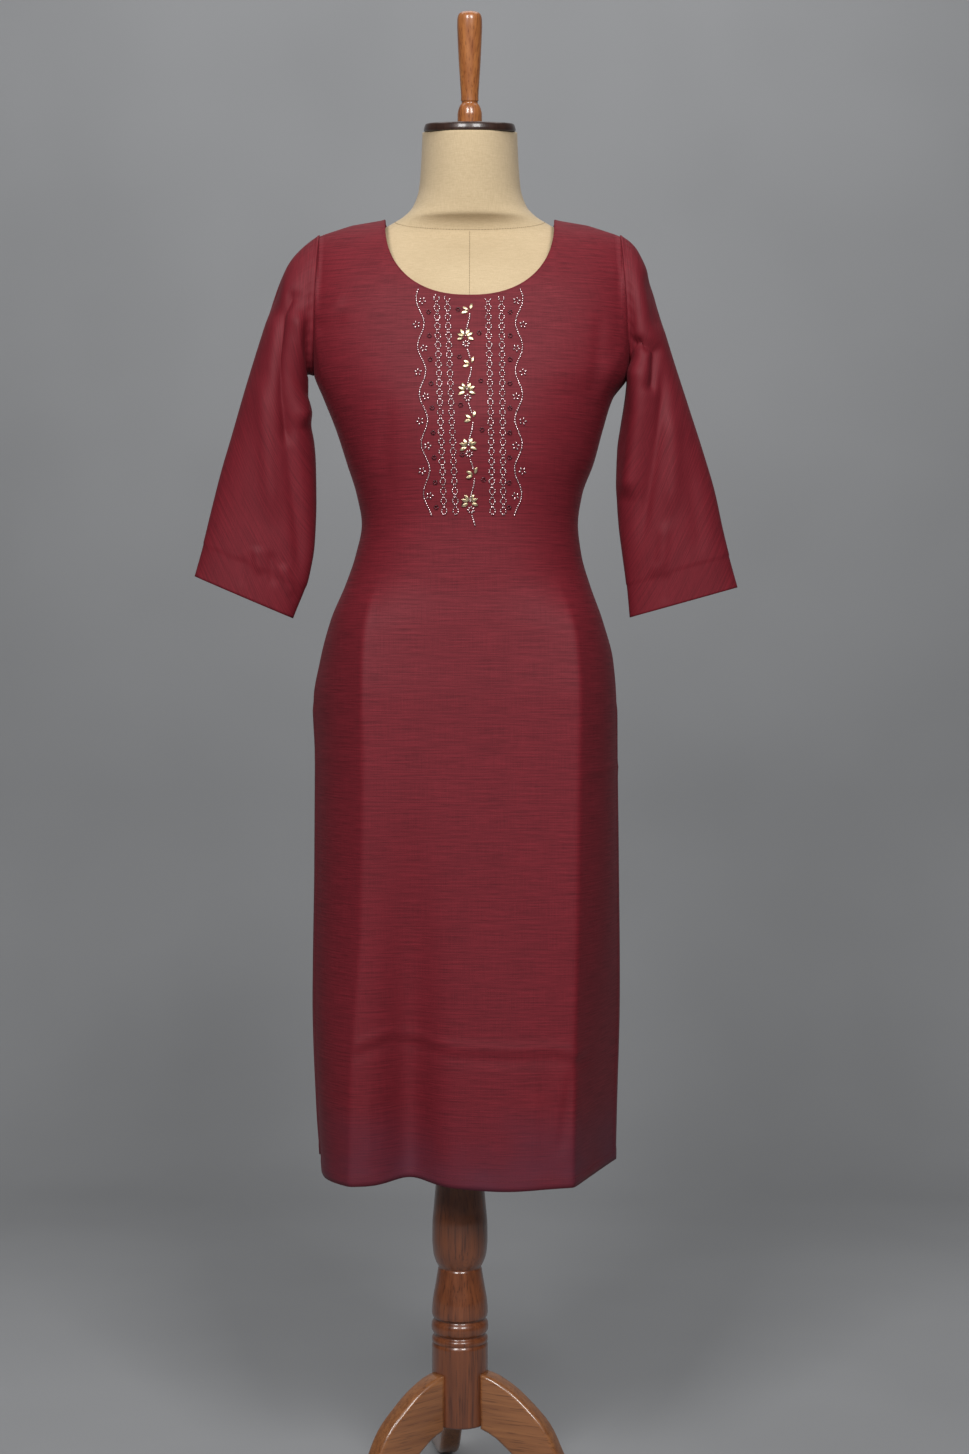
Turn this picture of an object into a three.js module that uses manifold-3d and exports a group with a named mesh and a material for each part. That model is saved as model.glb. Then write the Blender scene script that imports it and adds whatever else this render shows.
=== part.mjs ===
// A straight-cut kurta with scoop neck, set-in three-quarter sleeves and side slits, worn by a limbless linen
// dress form on a turned wooden tripod stand. Millimetres, +Z up, the wearer's front towards -Y.
// While it is built, X = Y = 0 is the upright axis of the dress form and Z = 0 the floor; at the end the whole
// group is moved so that the origin is the centre of its footprint box on the floor.
import * as THREE from "three";
import { mergeVertices } from "three/addons/utils/BufferGeometryUtils.js";
import Module from "manifold-3d";

const wasm = await Module();
wasm.setup();

// ---- driving dimensions -------------------------------------------------------------------------------------

const CLOTH = 1.5; // wall of the cloth
const SEAM_GAP = 0.4; // between two pieces that are sewn together
const HEM_Z = 404; // height of the kurta's hem above the floor
const UNDERARM_Z = 1330; // where a side seam meets its armhole
const SLIT_TOP_Z = 950; // where the side slits start
const FAN_Z = 1230; // above this height the columns of a panel fan out to its top edge

const NECK = { halfWidth: 98, topZ: 1508, frontDrop: 99, backDrop: 78, power: 2.35 };
const SHOULDER_TIP = { x: 174, z: 1490 };
const SHOULDER_BEND_X = 137; // the shoulder seam runs flatter inside this and drops faster outside it
const SHOULDER_BEND_Z = 1501.6;
const SHOULDER_ROUND = 98; // height over which the shoulder rounds over from front to back
const ARMHOLE = { rightX: 182, leftX: 186, frontDepth: 42, backDepth: 46 };

const POST_X = -12; // the stand's post stands a little to the wearer's right of the form's axis
const HUB_RADIUS = 33;
const LEG_THICKNESS = 25;
const LEG_TURN_DEG = 7; // the tripod is turned this much from square to the front
const FORM_BOTTOM_Z = 760;

// ---- tables: one row for each height ------------------------------------------------------------------------

// The worn kurta: half widths at the wearer's right (-X) and left (+X), and depths in front of and behind the axis.
const BODY = [
  { z: 404, right: 176, left: 173, front: 120, back: 132, power: 2.3 },
  { z: 459, right: 180, left: 174, front: 120, back: 132, power: 2.3 },
  { z: 600, right: 185, left: 177, front: 118, back: 130, power: 2.3 },
  { z: 763, right: 182, left: 175, front: 117, back: 130, power: 2.3 },
  { z: 880, right: 181, left: 173, front: 116, back: 129, power: 2.3 },
  { z: 950, right: 184, left: 172, front: 115, back: 126, power: 2.3 },
  { z: 997, right: 176, left: 168, front: 113, back: 118, power: 2.3 },
  { z: 1044, right: 163, left: 155, front: 111, back: 105, power: 2.3 },
  { z: 1085, right: 145, left: 140, front: 109, back: 93, power: 2.3 },
  { z: 1120, right: 133, left: 130, front: 109, back: 86, power: 2.3 },
  { z: 1155, right: 126, left: 126, front: 110, back: 82, power: 2.3 },
  { z: 1190, right: 132, left: 131, front: 114, back: 86, power: 2.3 },
  { z: 1225, right: 143, left: 144, front: 119, back: 92, power: 2.25 },
  { z: 1265, right: 156, left: 155, front: 121, back: 97, power: 2.2 },
  { z: 1300, right: 170, left: 166, front: 117, back: 99, power: 2.2 },
  { z: 1330, right: 182, left: 186, front: 109, back: 97, power: 2.25 },
  { z: 1365, right: 188, left: 190, front: 99, back: 93, power: 2.4 },
  { z: 1407, right: 190, left: 191, front: 88, back: 86, power: 2.5 },
  { z: 1450, right: 190, left: 191, front: 79, back: 78, power: 2.5 },
  { z: 1510, right: 190, left: 191, front: 70, back: 70, power: 2.5 },
];

// The pressed creases down the skirt, and where each side edge lies once the slits have freed the panels.
// creased runs from 0, a round section, to 1, a flat face between two creases. The Bow columns say how far a side
// face bellies out, and rightGape how much further out the back panel hangs than the front one.
const SKIRT = [
  { z: 404, creased: 1, rightCrease: 136, leftCrease: 118, rightFront: 38, rightBack: -52, leftFront: -28, leftBack: -42, rightBow: 9, leftBow: 0, rightGape: 4.5 },
  { z: 529, creased: 1, rightCrease: 133, leftCrease: 119, rightFront: 34, rightBack: -44, leftFront: -25, leftBack: -38, rightBow: 9, leftBow: 2, rightGape: 3.5 },
  { z: 700, creased: 1, rightCrease: 122, leftCrease: 122, rightFront: 22, rightBack: -30, leftFront: -16, leftBack: -26, rightBow: 9, leftBow: 7, rightGape: 1.5 },
  { z: 880, creased: 1, rightCrease: 120, leftCrease: 124, rightFront: 6, rightBack: -10, leftFront: -5, leftBack: -9, rightBow: 9, leftBow: 9, rightGape: 0 },
  { z: 950, creased: 1, rightCrease: 121, leftCrease: 125, rightFront: 0, rightBack: 0, leftFront: 0, leftBack: 0, rightBow: 9, leftBow: 9, rightGape: 0 },
  { z: 1030, creased: 0.75, rightCrease: 120, leftCrease: 122, rightFront: 0, rightBack: 0, leftFront: 0, leftBack: 0, rightBow: 9, leftBow: 9, rightGape: 0 },
  { z: 1100, creased: 0, rightCrease: 112, leftCrease: 112, rightFront: 0, rightBack: 0, leftFront: 0, leftBack: 0, rightBow: 9, leftBow: 9, rightGape: 0 },
  { z: 1510, creased: 0, rightCrease: 112, leftCrease: 112, rightFront: 0, rightBack: 0, leftFront: 0, leftBack: 0, rightBow: 9, leftBow: 9, rightGape: 0 },
];

// Soft flutes of the hanging skirt: a trough where depth is negative, fading out upwards.
const FLUTES = [
  { side: 1, x: -68, width: 30, depth: -34, fadeZ: 860 },
  { side: 1, x: 42, width: 48, depth: 7, fadeZ: 760 },
  { side: -1, x: 55, width: 34, depth: -30, fadeZ: 820 },
  { side: -1, x: -48, width: 40, depth: 8, fadeZ: 760 },
];

// A sleeve from its armhole to its cuff: its outer and inner edges seen from the front, and its half depths.
const RIGHT_SLEEVE = [
  { outerX: -174.0, outerZ: 1490, innerX: -182, innerZ: 1330, front: 42, back: 46 },
  { outerX: -193, outerZ: 1476, innerX: -191, innerZ: 1331, front: 47, back: 51 },
  { outerX: -213, outerZ: 1452, innerX: -197, innerZ: 1322, front: 50, back: 52 },
  { outerX: -231, outerZ: 1405, innerX: -197, innerZ: 1304, front: 51, back: 50 },
  { outerX: -246, outerZ: 1360, innerX: -192, innerZ: 1285, front: 49, back: 46 },
  { outerX: -262, outerZ: 1309, innerX: -184, innerZ: 1262, front: 45, back: 42 },
  { outerX: -277, outerZ: 1258, innerX: -180.5, innerZ: 1224, front: 40, back: 37 },
  { outerX: -289, outerZ: 1218, innerX: -180, innerZ: 1182, front: 35, back: 32 },
  { outerX: -301, outerZ: 1172, innerX: -182, innerZ: 1134, front: 29, back: 27 },
  { outerX: -311, outerZ: 1132, innerX: -189, innerZ: 1094, front: 25, back: 23 },
  { outerX: -321.5, outerZ: 1095, innerX: -207, innerZ: 1046, front: 21, back: 19 },
];
const LEFT_SLEEVE = [
  { outerX: 174.0, outerZ: 1490, innerX: 186, innerZ: 1330, front: 42, back: 46 },
  { outerX: 189, outerZ: 1479, innerX: 187, innerZ: 1325, front: 47, back: 51 },
  { outerX: 202, outerZ: 1457, innerX: 185, innerZ: 1315, front: 50, back: 52 },
  { outerX: 218, outerZ: 1405, innerX: 181, innerZ: 1296, front: 51, back: 50 },
  { outerX: 235, outerZ: 1350, innerX: 176.5, innerZ: 1270, front: 49, back: 46 },
  { outerX: 254, outerZ: 1292, innerX: 172.5, innerZ: 1240, front: 45, back: 42 },
  { outerX: 271, outerZ: 1240, innerX: 171.5, innerZ: 1200, front: 40, back: 37 },
  { outerX: 285, outerZ: 1193, innerX: 174, innerZ: 1158, front: 35, back: 32 },
  { outerX: 294.5, outerZ: 1150, innerX: 179, innerZ: 1118, front: 30, back: 28 },
  { outerX: 303, outerZ: 1116, innerX: 183.5, innerZ: 1084, front: 26, back: 24 },
  { outerX: 312.5, outerZ: 1082, innerX: 187, innerZ: 1047, front: 22, back: 20 },
];

// The dress form: half width, depths in front and behind, and how far each section leans towards the front.
const FORM = [
  { z: 760, half: 150, front: 92, back: 100, lean: 0, power: 2.2 },
  { z: 770, half: 155, front: 97, back: 106, lean: 0, power: 2.2 },
  { z: 850, half: 160, front: 103, back: 113, lean: 0, power: 2.2 },
  { z: 930, half: 161, front: 106, back: 114, lean: 0, power: 2.2 },
  { z: 990, half: 154, front: 104, back: 108, lean: 0, power: 2.2 },
  { z: 1050, half: 138, front: 99, back: 92, lean: 0, power: 2.2 },
  { z: 1100, half: 123, front: 93, back: 78, lean: 0, power: 2.2 },
  { z: 1150, half: 116, front: 90, back: 72, lean: 0, power: 2.2 },
  { z: 1200, half: 124, front: 99, back: 78, lean: 0, power: 2.2 },
  { z: 1250, half: 140, front: 112, back: 86, lean: 0, power: 2.2 },
  { z: 1290, half: 152, front: 110, back: 90, lean: 0, power: 2.2 },
  { z: 1340, half: 164, front: 99, back: 88, lean: 0, power: 2.25 },
  { z: 1400, half: 168, front: 84, back: 80, lean: 0, power: 2.3 },
  { z: 1440, half: 166, front: 66, back: 63, lean: 0, power: 2.3 },
  { z: 1464, half: 160, front: 51, back: 48, lean: 0, power: 2.2 },
  { z: 1480, half: 141, front: 41, back: 38, lean: 0, power: 2.1 },
  { z: 1490, half: 118, front: 38, back: 33, lean: 0, power: 2.0 },
  { z: 1498, half: 101, front: 41, back: 35, lean: 1, power: 1.9 },
  { z: 1504, half: 90, front: 46, back: 39, lean: 2, power: 1.9 },
  { z: 1512, half: 77, front: 54, back: 45, lean: 4, power: 2.0 },
  { z: 1524, half: 66, front: 56, back: 44, lean: 6, power: 2.0 },
  { z: 1545, half: 59, front: 60, back: 42, lean: 8, power: 2.0 },
  { z: 1575, half: 56.5, front: 66, back: 39, lean: 9.5, power: 2.0 },
  { z: 1609, half: 55, front: 71, back: 34, lean: 9.5, power: 2.0 },
];

// Turned profiles, from the bottom up: radius at each height.
const POST_PROFILE = [
  { r: 29, z: 98 },
  { r: 33, z: 103 },
  { r: 33, z: 192 },
  { r: 31.5, z: 199 },
  { r: 29.5, z: 202 },
  { r: 31.5, z: 206 },
  { r: 33.6, z: 213 },
  { r: 31.5, z: 220 },
  { r: 30, z: 223.5 },
  { r: 33, z: 227 },
  { r: 32.4, z: 240 },
  { r: 28.4, z: 262 },
  { r: 25.2, z: 279 },
  { r: 25.2, z: 282 },
  { r: 29, z: 289 },
  { r: 31.9, z: 301 },
  { r: 32.8, z: 322 },
  { r: 31.6, z: 346 },
  { r: 28.8, z: 378 },
  { r: 25, z: 440 },
  { r: 22, z: 540 },
  { r: 21, z: 700 },
  { r: 24, z: 745 },
  { r: 24, z: 759.6 },
  { r: 16, z: 759.6 },
  { r: 16, z: 820 },
];
const HANDLE_PROFILE = [
  { r: 14.2, h: 0 },
  { r: 13.9, h: 12 },
  { r: 12.6, h: 17 },
  { r: 9.9, h: 21.5 },
  { r: 9.6, h: 24 },
  { r: 10.2, h: 28 },
  { r: 12.5, h: 66 },
  { r: 14.4, h: 107 },
  { r: 14.3, h: 116 },
  { r: 12.4, h: 121.5 },
  { r: 7, h: 124 },
];
const CAP_PROFILE = [
  { r: 52.5, h: 0 },
  { r: 53, h: 2.5 },
  { r: 51.8, h: 7 },
  { r: 49.5, h: 9.5 },
];

// A tripod leg's side view: outer edge from hub to toe, then the underside back to the hub.
const LEG_TOP = [
  [28, 161], [44, 157.5], [58, 151], [72, 142.5], [84, 133], [95, 123.5], [105, 114], [113, 104],
  [120, 92], [127, 77], [137, 60], [152, 44], [175, 31.5], [204, 24.5], [234, 22], [257, 18.5], [270, 9],
];
const LEG_SOLE = [[271, 0], [212, 0]];
const LEG_UNDER = [[184, 5.5], [158, 9], [132, 15], [112, 26], [97, 42], [82, 59], [63, 76], [45, 89], [28, 96]];

// ---- small maths --------------------------------------------------------------------------------------------

const clamp = (value, low, high) => Math.min(high, Math.max(low, value));
const lerp = (a, b, t) => a + (b - a) * t;
const smooth = (t) => {
  const c = clamp(t, 0, 1);
  return c * c * (3 - 2 * c);
};
const signedPower = (value, power) => Math.sign(value) * Math.abs(value) ** power;

// The row of a table at height z, every column eased between rows with a monotone-looking cubic.
function rowAt(table, z, key = "z") {
  const last = table.length - 1;
  const at = clamp(z, table[0][key], table[last][key]);
  let i = 0;
  while (i < last - 1 && at > table[i + 1][key]) i++;
  const [before, a, b, after] = [table[Math.max(i - 1, 0)], table[i], table[i + 1], table[Math.min(i + 2, last)]];
  const span = b[key] - a[key];
  const t = (at - a[key]) / span;
  const row = {};
  for (const column of Object.keys(a)) {
    const rise = (b[column] - a[column]) / span;
    const slopeA = before === a ? rise : flatter((a[column] - before[column]) / (a[key] - before[key]), rise);
    const slopeB = after === b ? rise : flatter(rise, (after[column] - b[column]) / (after[key] - b[key]));
    const t2 = t * t;
    const t3 = t2 * t;
    row[column] = a[column] * (2 * t3 - 3 * t2 + 1) + b[column] * (3 * t2 - 2 * t3)
      + span * (slopeA * (t3 - 2 * t2 + t) + slopeB * (t3 - t2));
  }
  return row;
}

// The harmonic mean of two slopes of one sign, or level where the column turns.
function flatter(before, after) {
  return before * after <= 0 ? 0 : (2 * before * after) / (before + after);
}

// ---- the worn shape of the kurta ----------------------------------------------------------------------------

// Height of the shoulder seam at a distance x from the axis.
function shoulderZ(x) {
  const out = Math.abs(x);
  if (out <= SHOULDER_BEND_X) {
    const t = (out - NECK.halfWidth) / (SHOULDER_BEND_X - NECK.halfWidth);
    return lerp(NECK.topZ, SHOULDER_BEND_Z, t);
  }
  const t = (out - SHOULDER_BEND_X) / (SHOULDER_TIP.x - SHOULDER_BEND_X);
  return lerp(SHOULDER_BEND_Z, SHOULDER_TIP.z, t);
}

// The half width that the section at this height has on the side that u points to.
const halfWidth = (row, u) => (u < 0 ? row.right : row.left);

// The share of the girth, from 0 at the middle to 1 at the side, that lies at a distance x from the axis.
function girthShare(x, z) {
  const row = rowAt(BODY, z);
  const part = clamp(Math.abs(x) / halfWidth(row, x), 0, 1);
  return Math.sign(x) * Math.asin(part ** (row.power / 2)) / (Math.PI / 2);
}

// A point of the worn cloth. side is 1 at the front and -1 at the back, and u runs from -1 at the wearer's right
// side seam to 1 at the left one. Depth is measured away from the axis, forwards or backwards.
function clothPoint(side, u, z) {
  const row = rowAt(BODY, z);
  const skirt = rowAt(SKIRT, z);
  const half = halfWidth(row, u) - (u < 0 ? side * skirt.rightGape : 0);
  const depth = side > 0 ? row.front : row.back;
  const angle = Math.abs(u) * Math.PI / 2;
  const round = { x: half * Math.sin(angle) ** (2 / row.power), d: depth * Math.cos(angle) ** (2 / row.power) };

  const crease = u < 0 ? skirt.rightCrease : skirt.leftCrease;
  const edgeName = (u < 0 ? "right" : "left") + (side > 0 ? "Front" : "Back");
  const edge = skirt[edgeName] * side;
  const bow = u < 0 ? skirt.rightBow : skirt.leftBow;
  const creaseShare = 0.48;
  const creased = {};
  if (Math.abs(u) <= creaseShare) {
    creased.x = crease * Math.abs(u) / creaseShare;
    creased.d = depth;
  } else {
    const t = (Math.abs(u) - creaseShare) / (1 - creaseShare);
    creased.x = lerp(crease, half, t) + bow * Math.sin(Math.PI * t) * 0.9;
    creased.d = lerp(depth, edge, t) + bow * Math.sin(Math.PI * t) * 0.4;
  }

  const x = Math.sign(u) * lerp(round.x, creased.x, skirt.creased);
  let d = lerp(round.d, creased.d, skirt.creased);
  for (const flute of FLUTES) {
    if (flute.side !== side) continue;
    const fade = smooth((flute.fadeZ - z) / (flute.fadeZ - HEM_Z));
    d += flute.depth * fade * Math.exp(-(((x - flute.x) / flute.width) ** 2));
  }
  const under = clamp((shoulderZ(x) - z) / SHOULDER_ROUND, 0, 1);
  d *= Math.sqrt(1 - (1 - under) ** 2);
  return new THREE.Vector3(x, -side * (d + SEAM_GAP / 2), z);
}

// ---- top edge of a panel: armhole, shoulder seam, neckline --------------------------------------------------

const COLUMNS = { armhole: 6, shoulder: 3, neck: 7 }; // on each half of a panel
const HALF_COLUMNS = COLUMNS.armhole + COLUMNS.shoulder + COLUMNS.neck;
const ROWS_BELOW = 17; // rows from the hem to FAN_Z
const ROWS_ABOVE = 8; // rows from FAN_Z to the top edge

// How far from the axis the armhole lies at a height: it is flat, and leans in towards the shoulder tip.
function armholeX(hand, z) {
  const t = clamp((SHOULDER_TIP.z - z) / (SHOULDER_TIP.z - UNDERARM_Z), 0, 1);
  return lerp(SHOULDER_TIP.x, hand < 0 ? ARMHOLE.rightX : ARMHOLE.leftX, t);
}

// A point on the armhole: turn is 0 at the shoulder tip and 1 at the underarm.
function armholePoint(side, hand, turn) {
  const angle = turn * Math.PI;
  const middle = (SHOULDER_TIP.z + UNDERARM_Z) / 2;
  const z = middle + (SHOULDER_TIP.z - middle) * Math.cos(angle);
  const x = hand * armholeX(hand, z);
  const depth = (side > 0 ? ARMHOLE.frontDepth : ARMHOLE.backDepth) * Math.sin(angle);
  return new THREE.Vector3(x, -side * (depth + SEAM_GAP / 2), z);
}

// The top end of a column, and how far its depth there differs from clothPoint's. Column 0 is a side seam, and
// HALF_COLUMNS is the middle of the panel.
function topEnd(side, hand, column) {
  if (column <= COLUMNS.armhole) {
    const point = armholePoint(side, hand, 1 - column / COLUMNS.armhole);
    return { x: point.x, z: point.z, y: point.y };
  }
  if (column <= COLUMNS.armhole + COLUMNS.shoulder) {
    const t = (column - COLUMNS.armhole) / COLUMNS.shoulder;
    const x = hand * lerp(SHOULDER_TIP.x, NECK.halfWidth, t);
    return { x, z: shoulderZ(x), y: -side * SEAM_GAP / 2 };
  }
  const angle = ((column - COLUMNS.armhole - COLUMNS.shoulder) / COLUMNS.neck) ** 1.5 * Math.PI / 2;
  const drop = side > 0 ? NECK.frontDrop : NECK.backDrop;
  return {
    x: hand * NECK.halfWidth * Math.cos(angle) ** (2 / NECK.power),
    z: NECK.topZ - drop * Math.sin(angle) ** (2 / NECK.power),
  };
}

// The girth share of a column below FAN_Z: the armhole's columns share the side face, the rest the front face.
function skirtShare(column) {
  const t = column / HALF_COLUMNS;
  return 1 - t;
}

// A grid of points for the front (side 1) or the back (side -1), from the right side seam to the left one.
function panelGrid(side) {
  const grid = [];
  for (let i = 0; i <= 2 * HALF_COLUMNS; i++) {
    const hand = i <= HALF_COLUMNS ? -1 : 1;
    const column = i <= HALF_COLUMNS ? i : 2 * HALF_COLUMNS - i;
    const low = hand * skirtShare(column);
    const top = topEnd(side, hand, column);
    const high = girthShare(top.x, top.z);
    const reach = top.y === undefined ? 0 : top.y - clothPoint(side, high, top.z).y;
    const line = [];
    for (let j = 0; j <= ROWS_BELOW; j++) {
      line.push(clothPoint(side, low, lerp(HEM_Z, FAN_Z, j / ROWS_BELOW)));
    }
    for (let j = 1; j <= ROWS_ABOVE; j++) {
      const t = 1 - (1 - j / ROWS_ABOVE) ** 1.5; // closer together where the shoulder rounds over
      const point = clothPoint(side, lerp(low, high, smooth(t) * 0.6 + t * 0.4), lerp(FAN_Z, top.z, t));
      point.y += reach * t ** 3;
      line.push(point);
    }
    grid.push(line);
  }
  return grid;
}

// ---- walls from grids ---------------------------------------------------------------------------------------

// The outward normal of a grid at one point. wraps says that the grid closes on itself in its first direction.
function gridNormal(grid, i, j, wraps) {
  const columns = grid.length;
  const rows = grid[0].length;
  const pick = (a, b) => grid[wraps ? (a + columns) % columns : clamp(a, 0, columns - 1)][clamp(b, 0, rows - 1)];
  const across = pick(i + 1, j).clone().sub(pick(i - 1, j));
  const along = pick(i, j + 1).clone().sub(pick(i, j - 1));
  return across.cross(along).normalize();
}

// Turns a grid of points into a closed wall of cloth: the grid is its outer face, and the inner face lies CLOTH
// behind it. keep is given each inner point, to hold it on its own side of a seam.
function wallGeometry(grid, { wraps = false, flip = false, keep = (point) => point } = {}) {
  const columns = grid.length;
  const rows = grid[0].length;
  const inward = flip ? CLOTH : -CLOTH;
  const outer = (i, j) => grid[(i + columns) % columns][j];
  const innerGrid = grid.map((line, i) =>
    line.map((point, j) => keep(point.clone().addScaledVector(gridNormal(grid, i, j, wraps), inward), point, i, j)));
  const inner = (i, j) => innerGrid[(i + columns) % columns][j];
  const corners = [];
  const quad = (a, b, c, d) => {
    const loop = flip ? [a, c, b, a, d, c] : [a, b, c, a, c, d];
    loop.forEach((p) => corners.push(p.x, p.y, p.z));
  };
  const spans = wraps ? columns : columns - 1;
  for (let i = 0; i < spans; i++) {
    for (let j = 0; j < rows - 1; j++) {
      quad(outer(i, j), outer(i + 1, j), outer(i + 1, j + 1), outer(i, j + 1));
      quad(inner(i, j), inner(i, j + 1), inner(i + 1, j + 1), inner(i + 1, j));
    }
    quad(outer(i, 0), inner(i, 0), inner(i + 1, 0), outer(i + 1, 0));
    quad(outer(i, rows - 1), outer(i + 1, rows - 1), inner(i + 1, rows - 1), inner(i, rows - 1));
  }
  if (!wraps) {
    for (let j = 0; j < rows - 1; j++) {
      quad(outer(0, j), outer(0, j + 1), inner(0, j + 1), inner(0, j));
      quad(outer(columns - 1, j), inner(columns - 1, j), inner(columns - 1, j + 1), outer(columns - 1, j + 1));
    }
  }
  return fromCorners(corners);
}

function fromCorners(corners) {
  const geometry = new THREE.BufferGeometry();
  geometry.setAttribute("position", new THREE.Float32BufferAttribute(corners, 3));
  return mergeVertices(geometry, 1e-4);
}

// ---- kurta pieces -------------------------------------------------------------------------------------------

function panelGeometry(side) {
  const keep = (inner, outer) => {
    if (outer.z < SLIT_TOP_Z) return inner;
    inner.y = side > 0 ? Math.min(inner.y, -SEAM_GAP / 2) : Math.max(inner.y, SEAM_GAP / 2);
    const hand = Math.sign(outer.x);
    if (inner.z > UNDERARM_Z) inner.x = hand * Math.min(hand * inner.x, armholeX(hand, inner.z));
    return inner;
  };
  return wallGeometry(panelGrid(side), { flip: side < 0, keep });
}

const SLEEVE_ROUND = 24; // points round a sleeve
const SLEEVE_ROWS = 15;
const SLEEVE_POWER = 1.9;

// The sleeve's table row at a share of its length.
function sleeveRow(table, share) {
  const numbered = table.map((row, index) => ({ ...row, step: index / (table.length - 1) }));
  return rowAt(numbered, share, "step");
}

function sleeveGrid(table, hand) {
  const grid = [];
  for (let i = 0; i < SLEEVE_ROUND; i++) {
    const angle = (i / SLEEVE_ROUND) * 2 * Math.PI; // 0 on the outer edge, a quarter turn at the front
    const front = Math.sin(angle) >= 0;
    const line = [];
    for (let j = 0; j <= SLEEVE_ROWS; j++) {
      const share = j / SLEEVE_ROWS;
      const row = sleeveRow(table, share);
      const power = lerp(2, SLEEVE_POWER, smooth(share * 3));
      const across = (signedPower(Math.cos(angle), 2 / power) + 1) / 2;
      const depth = (front ? row.front : row.back) * signedPower(Math.sin(angle), 2 / power);
      const seam = j === 0 ? hand * SEAM_GAP : 0;
      line.push(new THREE.Vector3(
        lerp(row.innerX, row.outerX, across) + seam,
        -depth,
        lerp(row.innerZ, row.outerZ, across),
      ));
    }
    grid.push(line);
  }
  return grid;
}

function sleeveGeometry(table, hand) {
  const keep = (inner, outer, i, j) => {
    if (j === 0) inner.x = hand * Math.max(hand * inner.x, hand * outer.x, armholeX(hand, inner.z) + SEAM_GAP);
    return inner;
  };
  return wallGeometry(sleeveGrid(table, hand), { wraps: true, flip: hand < 0, keep });
}

// ---- dress form ---------------------------------------------------------------------------------------------

const FORM_ROUND = 32;

// One ring of the form, with its section leaning towards the front.
function formRing(row) {
  const lean = THREE.MathUtils.degToRad(row.lean);
  const ring = [];
  for (let i = 0; i < FORM_ROUND; i++) {
    const angle = (i / FORM_ROUND) * 2 * Math.PI;
    const forward = -Math.sin(angle);
    const depth = (forward > 0 ? row.front : row.back) * signedPower(forward, 2 / row.power);
    const x = row.half * signedPower(Math.cos(angle), 2 / row.power);
    ring.push(new THREE.Vector3(x, -depth * Math.cos(lean), row.z - depth * Math.sin(lean)));
  }
  return ring;
}

function formGeometry() {
  const rings = FORM.map(formRing);
  const corners = [];
  const triangle = (a, b, c) => [a, b, c].forEach((p) => corners.push(p.x, p.y, p.z));
  const middle = (ring) => ring.reduce((sum, p) => sum.add(p), new THREE.Vector3()).divideScalar(ring.length);
  const bottom = middle(rings[0]);
  const top = middle(rings[rings.length - 1]);
  for (let i = 0; i < FORM_ROUND; i++) {
    const next = (i + 1) % FORM_ROUND;
    for (let j = 0; j < rings.length - 1; j++) {
      triangle(rings[j][i], rings[j][next], rings[j + 1][next]);
      triangle(rings[j][i], rings[j + 1][next], rings[j + 1][i]);
    }
    triangle(bottom, rings[0][next], rings[0][i]);
    triangle(top, rings[rings.length - 1][i], rings[rings.length - 1][next]);
  }
  const socket = new THREE.CylinderGeometry(16.4, 16.4, 64, 24);
  socket.rotateX(Math.PI / 2).translate(POST_X, 0, FORM_BOTTOM_Z + 30);
  return cut(fromCorners(corners), socket);
}

// The middle of the form's top face and the way it points, where the cap and the handle stand.
function capFrame() {
  const row = FORM[FORM.length - 1];
  const lean = THREE.MathUtils.degToRad(row.lean);
  const middle = (row.front - row.back) / 2;
  return {
    position: new THREE.Vector3(0, -middle * Math.cos(lean), row.z - middle * Math.sin(lean)),
    lean,
  };
}

// ---- turned and cut wood ------------------------------------------------------------------------------------

// A solid of revolution about Z from a profile that is closed onto the axis at both ends.
function turned(profile, segments) {
  const height = (row) => row.z ?? row.h;
  const points = [
    new THREE.Vector2(0, height(profile[0])),
    ...profile.map((row) => new THREE.Vector2(row.r, height(row))),
    new THREE.Vector2(0, height(profile[profile.length - 1])),
  ];
  return new THREE.LatheGeometry(points, segments).rotateX(Math.PI / 2);
}

function solid(geometry) {
  const bare = new THREE.BufferGeometry();
  const source = geometry.index ? geometry.toNonIndexed() : geometry;
  bare.setAttribute("position", source.getAttribute("position"));
  const merged = mergeVertices(bare, 1e-4);
  return new wasm.Manifold(new wasm.Mesh({
    numProp: 3,
    vertProperties: merged.attributes.position.array,
    triVerts: new Uint32Array(merged.index.array),
  }));
}

// The first shape less the second.
function cut(geometry, tool) {
  const made = solid(geometry).subtract(solid(tool)).getMesh();
  const result = new THREE.BufferGeometry();
  result.setAttribute("position", new THREE.Float32BufferAttribute(made.vertProperties, 3));
  result.setIndex(new THREE.BufferAttribute(made.triVerts, 1));
  return result;
}

// One leg: its side view extruded, with the hub's round cut out of its end, pointing along +X.
function legGeometry() {
  const outline = [...LEG_TOP, ...LEG_SOLE, ...LEG_UNDER].map(([r, z]) => new THREE.Vector2(r, z));
  const board = new THREE.ExtrudeGeometry(new THREE.Shape(outline), { depth: LEG_THICKNESS, bevelEnabled: false });
  board.translate(0, 0, -LEG_THICKNESS / 2).rotateX(Math.PI / 2);
  const hub = new THREE.CylinderGeometry(HUB_RADIUS + 0.35, HUB_RADIUS + 0.35, 400, 48).rotateX(Math.PI / 2);
  return cut(board, hub);
}

// ---- materials and assembly ---------------------------------------------------------------------------------

const finish = (color, roughness) => new THREE.MeshStandardMaterial({ color, roughness, metalness: 0 });

function piece(name, geometry, material) {
  const mesh = new THREE.Mesh(geometry, material);
  mesh.name = name;
  return mesh;
}

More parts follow.
